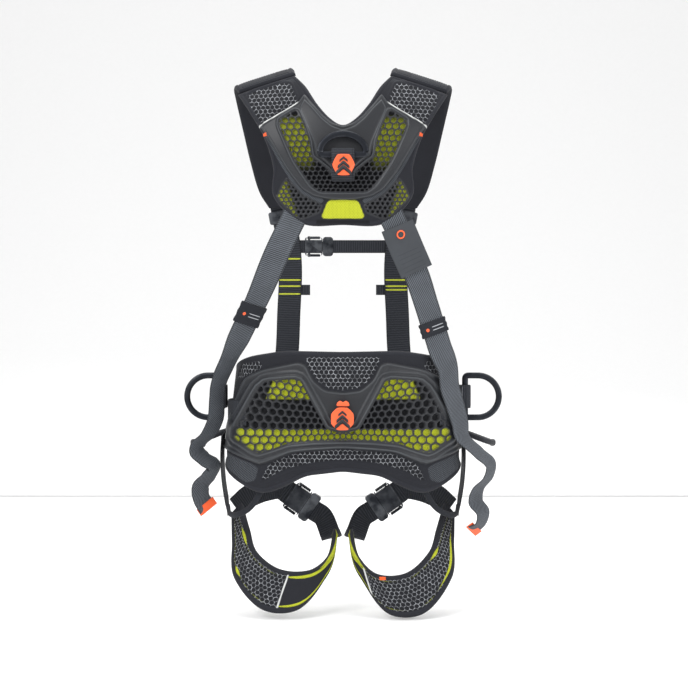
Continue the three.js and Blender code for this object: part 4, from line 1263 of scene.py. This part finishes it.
# ------------------------------------------------------------------ leg loops
def leg_edges(side):
    """The upper and lower edges of a leg pad, from its outer to its inner end."""
    drop = 7 if side == RIGHT else 0
    inner = [(-186, 44, -166), (-170, -6, -208), (-155, -42, -245), (-112, -70, -272 - drop), (-66, -68, -274 - drop),
             (-32, -34, -254), (-20, 20, -212)]
    outer = [(-204, 52, -188), (-201, -10, -236), (-195, -62, -290), (-142, -98, -340 - drop),
             (-84, -98, -341 - drop), (-38, -60, -296), (-12, 14, -224)]
    return on_side(inner, side), on_side(outer, side)


def build_leg_pad(side):
    """A pad between an upper and a lower edge round the back of the thigh, with its panels marked on it."""
    nu, nv, k = 341, 81, 4
    upper, lower = leg_edges(side)
    u, v = np.linspace(0, 1, nu), np.linspace(0, 1, nv)[None, :, None]
    base = through(upper, u)[:, None] * (1 - v) + through(lower, u)[:, None] * v
    lift = normals(base, (side * 105, 20, -180))
    run = np.linalg.norm(base[:, -1] - base[:, 0], axis=1)[:, None]
    along = run_along(base[:, nv // 2])
    v = v[..., 0]
    gap = np.minimum(np.minimum(v * run, (1 - v) * run), np.minimum(along, along[-1] - along) + 0 * v)
    x, z = base[..., 0], base[..., 2]
    top_gap, low_gap = v * run, (1 - v) * run
    if side == LEFT:
        outward = -98 + (z + 282) * 0.34 - x
        reach, outer_leaves = 78, ((0.13, 0.27, top_gap), (0.3, 0.36, low_gap))
    else:
        outward = x - (47 - (z + 286) * 0.255)
        reach, outer_leaves = 48, ((0.27, 0.37, top_gap), (0.12, 0.42, low_gap))
    inward = np.clip(-outward / reach, 0, 1.6)
    wide = 4.6 * np.sqrt(np.clip(inward * (1.5 - inward), 0, 1)) * (outward < -1)
    lime = np.minimum(np.abs(top_gap - 12.5) - wide, np.abs(low_gap - 11.5) - 0.75 * wide)
    leaf = np.clip((u[:, None] - 0.74) / 0.25, 0, 1)
    lime = np.minimum(lime, np.abs(top_gap - 6.5) - 6.5 * np.sin(math.pi * leaf) + 0.6)
    for first, last, edge_gap in outer_leaves:
        share = np.clip((u[:, None] - first) / (last - first), 0, 1)
        lime = np.minimum(lime, np.abs(edge_gap - 12) - 3.4 * np.sin(math.pi * share) + 0.6)
    height = 10.6 + 1.2 * ease(0, 25, gap) + 0.9 * bump(gap, 4, 4) - 0.9 * ease(1.6, 0, np.abs(gap - 9))
    height += 0.9 * ease(2.6, 0, np.abs(outward)) * ease(8, 10, gap) - 0.7 * ease(3, 5, outward) * ease(9, 12, gap)
    height += 0.8 * ease(0.8, -1, lime)
    height = 4.5 + (height - 4.5) * edge_round(gap + 0.4, 6.5)
    visible = ease(40, 0, base[..., 1])
    marks = {
        "net": ease(1.8, 2.6, outward) * ease(9, 10, gap) * ease(0.03, 0.05, u[:, None]),
        "white": ease(1.6, 1.0, np.abs(outward)) * ease(8, 9, gap) * visible,
        "lime": ease(0.5, -0.5, lime) * visible,
        "trim": ease(8.6, 8, gap),
    }
    if side == RIGHT:
        marks["orange"] = (np.abs(x - 73) < 5) * (np.abs(z + 289) < 2.6) * 1.0
    front = base + lift * height[..., None]
    back = (base + lift * (0.4 + 2.6 * (1 - edge_round(gap, 7)))[..., None])[::k, ::k]
    near_ends, off_edges = ease(0.772, 0.784, u) + ease(0.122, 0.11, u), ease(0.03, 0.08, v) * ease(0.97, 0.92, v)
    lining = near_ends[::k, None] * off_edges[:, ::k]
    obj = slab(f"leg_cover_{NAME[side]}", front, back, rows(along + 0 * v, v * run), marks, lining)
    return finish_with(obj, cover(), f"leg_{NAME[side]}", "foam", f"leg_pad_{NAME[side]}")


def build_leg_straps(side):
    """The thigh strap through its buckle, the riser to the waist pad and the elastic at the back."""
    tag, leg = NAME[side], f"leg_{NAME[side]}"
    a, b = np.array((side * 98, 100, -154.0)), np.array((side * 48, 94, -188.0))
    x = unit(b - a)
    y = unit(np.array((0, 1, 0.1)) - x * np.dot((0, 1, 0.1), x))
    z, middle = np.cross(x, y), (a + b) / 2
    across = tuple(-side * z)

    def on_buckle(d):
        return tuple(middle + x * d - y * 1.6)

    outer = [*on_side([(-203, 72, -176), (-180, 86, -156), (-146, 97, -143)], side),
             on_buckle(-54), on_buckle(-40), on_buckle(-29)]
    widths = [(-0.1 * side, 0.1, 1), (0, 0, 1), (-0.1 * side, 0, 1), across, across, across]
    finish_with(strap(f"leg_webbing_{tag}", outer, widths), webbing(), leg, "webbing", f"leg_strap_{tag}")
    inner = [on_buckle(4), on_buckle(24), on_buckle(42),
             *on_side([(-25, 76, -224), (-20, 36, -228), (-17, 22, -222)], side)]
    widths = [across, across, across, (-0.9 * side, 0, 0.6), (-side, -0.1, 0.2), (-0.9 * side, 0, 0.5)]
    obj = strap(f"leg_inner_webbing_{tag}", inner, widths, 40, narrow_end=0.42)
    finish_with(obj, webbing(), leg, "webbing", f"leg_inner_strap_{tag}")
    for i in (-1, 1):
        arm = middle + z * i * 27.1 + x * np.linspace(-30, -5, 14)[:, None]
        grip = 1 + 0.06 * np.sin(np.arange(14) * 2.1)
        lever = swept(f"leg_lever_{tag}_{i + 1}", arm, y, round_profile(4.6, 2.5, 16, 4), taper=grip)
        finish_with(lever, anodised(), leg, "buckle")
    for piece in ("socket", "tongue"):
        machined(f"leg_buckle_{tag}_{piece}", anodised(), "buckle")
    riser = on_side([(-220, -10, -28), (-223, 2, -70), (-222, 24, -120), (-217, 44, -166), (-215, 46, -186)], side)
    obj = strap(f"riser_webbing_{tag}", riser, [(-0.1 * side, 1, 0)], 38, narrow_end=0.6)
    finish_with(obj, webbing(), None, "webbing", f"leg_riser_{tag}")
    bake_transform(obj)
    band = on_side([(-146, -86, -128), (-166, -76, -158), (-190, -54, -174), (-207, -22, -176), (-213, 12, -166)], side)
    obj = swept(f"elastic_tube_{tag}", even(band, 60), (0, 0, 1), round_profile(5.2, 3.6, 16, 2.4))
    finish_with(obj, elastic(), None, "elastic", f"leg_elastic_{tag}")
    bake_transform(obj)


# ------------------------------------------------------------------ the studio
def build_stage():
    """A pale sweep: a floor that turns up behind on a quarter circle. Two soft lights and a camera."""
    floor, far, radius = CAD_BOX[0][2] - 0.003, 4.6, 2.6
    turn = np.linspace(0, math.pi / 2, 24)
    y = np.concatenate([[-6.0], np.linspace(-4, far - radius, 8), far - radius + radius * np.sin(turn), [far]])
    z = np.concatenate([[0.0], np.zeros(8), radius * (1 - np.cos(turn)), [4.5]])
    x = np.linspace(-6, 6, 13)
    grid = rows(x[:, None] + 0 * y, y + 0 * x[:, None], floor + z + 0 * x[:, None]) / MM
    sweep = mesh_object("studio_sweep", grid, [quads(len(x), len(y))[:, ::-1]])
    sweep.data.materials.append(studio_paper())
    for name, place, aim, power, size in (
        ("key_light", (-1.6, -2.4, 2.0), (0, 0, 0.15), 58, 1.5),
        ("fill_light", (2.2, -1.9, 0.9), (0, 0, 0.1), 30, 1.6),
        ("top_light", (0, 0.3, 2.6), (0, 0, 0), 40, 2.2),
        ("front_light", (0.3, 2.2, 1.6), (0, 0, 0.1), 22, 1.6),
    ):
        light = bpy.data.lights.new(name, "AREA")
        light.energy, light.size = power, size
        lamp = bpy.data.objects.new(name, light)
        lamp.location = place
        lamp.rotation_euler = (Vector(aim) - Vector(place)).to_track_quat("-Z", "Y").to_euler()
        bpy.context.scene.collection.objects.link(lamp)
    world = bpy.context.scene.world or bpy.data.worlds.new("studio")
    bpy.context.scene.world = world
    world.use_nodes = True
    world.node_tree.nodes["Background"].inputs[0].default_value = (1, 1, 1, 1)
    world.node_tree.nodes["Background"].inputs[1].default_value = 0.75
    lens = bpy.data.cameras.new("camera")
    lens.lens, lens.sensor_width = 77.3, 36
    camera = bpy.data.objects.new("camera", lens)
    camera.location = (0.0018, -2.73, 0.135)
    camera.rotation_euler = (math.pi / 2, 0, 0)
    bpy.context.scene.collection.objects.link(camera)
    bpy.context.scene.camera = camera
    bpy.context.scene.view_settings.view_transform = "Standard"


# ------------------------------------------------------------------ the add-on
class SADDLE_PG_sizes(PropertyGroup):
    hole_pitch: FloatProperty(name="Hole pitch", description="From hole to hole at the middle of the waist shell",
                              default=0.0098, min=0.008, max=0.02, unit="LENGTH")


def colour_property(name, description, screen):
    """A colour whose default is given as it looks on a screen."""
    return FloatVectorProperty(name=name, description=description, default=from_screen(*screen), size=3,
                               subtype="COLOR", min=0, max=1)


class SADDLE_PG_colours(PropertyGroup):
    cover: colour_property("Pad cloth", "Black cloth of the pads", (27, 28, 33))
    net: colour_property("Net", "Threads of the hexagonal net", (160, 163, 168))
    lime: colour_property("Lime mesh", "Spacer mesh behind the holes", (204, 212, 52))
    shell: colour_property("Shell", "Moulded shells", (27, 29, 34))
    # The shell rim colour is a painted highlight along the crests of the rims.
    shell_rim_highlight: colour_property("Shell rims", "Rubbed rims of the shells", (78, 82, 86))
    webbing: colour_property("Webbing", "Black load-bearing webbing", (32, 34, 39))
    grey_webbing: colour_property("Grey webbing", "Ribbed grey webbing", (80, 84, 90))
    badge: colour_property("Badge", "Orange badges and tags", (245, 98, 48))
    metal: colour_property("Anodising", "Black anodised metal", (42, 44, 49))
    bare_metal: colour_property("Rubbed metal", "Metal where the anodising is rubbed", (110, 113, 118))
    rubber: colour_property("Moulded rubber", "Gear loops and emblems", (40, 41, 46))
    floor: colour_property("Studio floor", "The pale sweep", (250, 250, 250))


class SADDLE_OT_waist_pad(Operator):
    """The padded back of the waist with its moulded shell, windows and nets."""

    bl_idname = "saddle.waist_pad"
    bl_label = "Waist pad"

    def execute(self, context):
        build_waist_pad()
        return {"FINISHED"}


class SADDLE_OT_yoke(Operator):
    """The padded yoke between the shoulders with its shell, lobes and trim."""

    bl_idname = "saddle.yoke"
    bl_label = "Yoke"

    def execute(self, context):
        build_yoke()
        return {"FINISHED"}


class SADDLE_OT_shoulder_pads(Operator):
    """The two pads over the shoulders."""

    bl_idname = "saddle.shoulder_pads"
    bl_label = "Shoulder pads"

    def execute(self, context):
        for side in (LEFT, RIGHT):
            build_shoulder_pad(side)
        return {"FINISHED"}


class SADDLE_OT_badges(Operator):
    """The orange badges of the waist and the yoke."""

    bl_idname = "saddle.badges"
    bl_label = "Badges"

    def execute(self, context):
        waist = shifted(BADGE_OUTLINE, -1, 4)
        build_badge("waist", waist, -144.4, (-1, 4), "waist_badge", BADGE_CAP)
        yoke = shifted(YOKE_BADGE_OUTLINE, 1, 447)
        build_badge("yoke", yoke, -159.6, (1, 447), "dorsal_badge")
        return {"FINISHED"}


class SADDLE_OT_front_straps(Operator):
    """The front straps with their adjusters, stitched bars and lanyard tabs."""

    bl_idname = "saddle.front_straps"
    bl_label = "Front straps"

    def execute(self, context):
        for side in (LEFT, RIGHT):
            build_front_straps(side)
        return {"FINISHED"}


class SADDLE_OT_chest(Operator):
    """The chest strap and its buckle."""

    bl_idname = "saddle.chest"
    bl_label = "Chest strap"

    def execute(self, context):
        build_chest()
        return {"FINISHED"}


class SADDLE_OT_back_straps(Operator):
    """The ribbed straps down the back with their keepers, the ends and the label."""

    bl_idname = "saddle.back_straps"
    bl_label = "Back straps"

    def execute(self, context):
        for side in (LEFT, RIGHT):
            build_back_strap(side)
        build_label()
        return {"FINISHED"}


class SADDLE_OT_belt(Operator):
    """The waist belt and its buckle."""

    bl_idname = "saddle.belt"
    bl_label = "Waist belt"

    def execute(self, context):
        build_belt()
        return {"FINISHED"}


class SADDLE_OT_sides(Operator):
    """The side rings on their webbing and the gear loops."""

    bl_idname = "saddle.sides"
    bl_label = "Side rings"

    def execute(self, context):
        for side in (LEFT, RIGHT):
            build_side(side)
        return {"FINISHED"}


class SADDLE_OT_rings(Operator):
    """The ring on the yoke and the ring at the front of the belt."""

    bl_idname = "saddle.rings"
    bl_label = "Dorsal and ventral rings"

    def execute(self, context):
        build_dorsal()
        build_ventral()
        return {"FINISHED"}


class SADDLE_OT_legs(Operator):
    """The leg pads, their straps, buckles, risers and elastics."""

    bl_idname = "saddle.legs"
    bl_label = "Leg loops"

    def execute(self, context):
        for side in (LEFT, RIGHT):
            build_leg_pad(side)
            build_leg_straps(side)
        return {"FINISHED"}


class SADDLE_OT_stage(Operator):
    """The pale sweep, the lights and the camera."""

    bl_idname = "saddle.stage"
    bl_label = "Studio"

    def execute(self, context):
        build_stage()
        return {"FINISHED"}


OPERATORS = (
    SADDLE_OT_waist_pad,
    SADDLE_OT_yoke,
    SADDLE_OT_shoulder_pads,
    SADDLE_OT_badges,
    SADDLE_OT_front_straps,
    SADDLE_OT_chest,
    SADDLE_OT_back_straps,
    SADDLE_OT_belt,
    SADDLE_OT_sides,
    SADDLE_OT_rings,
    SADDLE_OT_legs,
    SADDLE_OT_stage,
)


class SADDLE_PT_panel(Panel):
    """Every piece of the saddle, and the colours that they take."""

    bl_label = "Climbing saddle"
    bl_idname = "SADDLE_PT_panel"
    bl_space_type = "VIEW_3D"
    bl_region_type = "UI"
    bl_category = "Saddle"

    def draw(self, context):
        scene = context.scene
        for group in (scene.saddle_sizes, scene.saddle_colours):
            for name in group.__annotations__:
                self.layout.prop(group, name)
        for operator in OPERATORS:
            self.layout.operator(operator.bl_idname)


CLASSES = (SADDLE_PG_sizes, SADDLE_PG_colours, *OPERATORS, SADDLE_PT_panel)


def register():
    """Adds the classes and their properties to Blender."""
    for cls in CLASSES:
        bpy.utils.register_class(cls)
    bpy.types.Scene.saddle_sizes = PointerProperty(type=SADDLE_PG_sizes)
    bpy.types.Scene.saddle_colours = PointerProperty(type=SADDLE_PG_colours)


def unregister():
    """Takes them out again."""
    del bpy.types.Scene.saddle_colours, bpy.types.Scene.saddle_sizes
    for cls in reversed(CLASSES):
        bpy.utils.unregister_class(cls)


def main():
    register()
    for operator in OPERATORS:
        getattr(bpy.ops.saddle, operator.bl_idname.split(".")[1])()


if __name__ == "__main__":
    main()
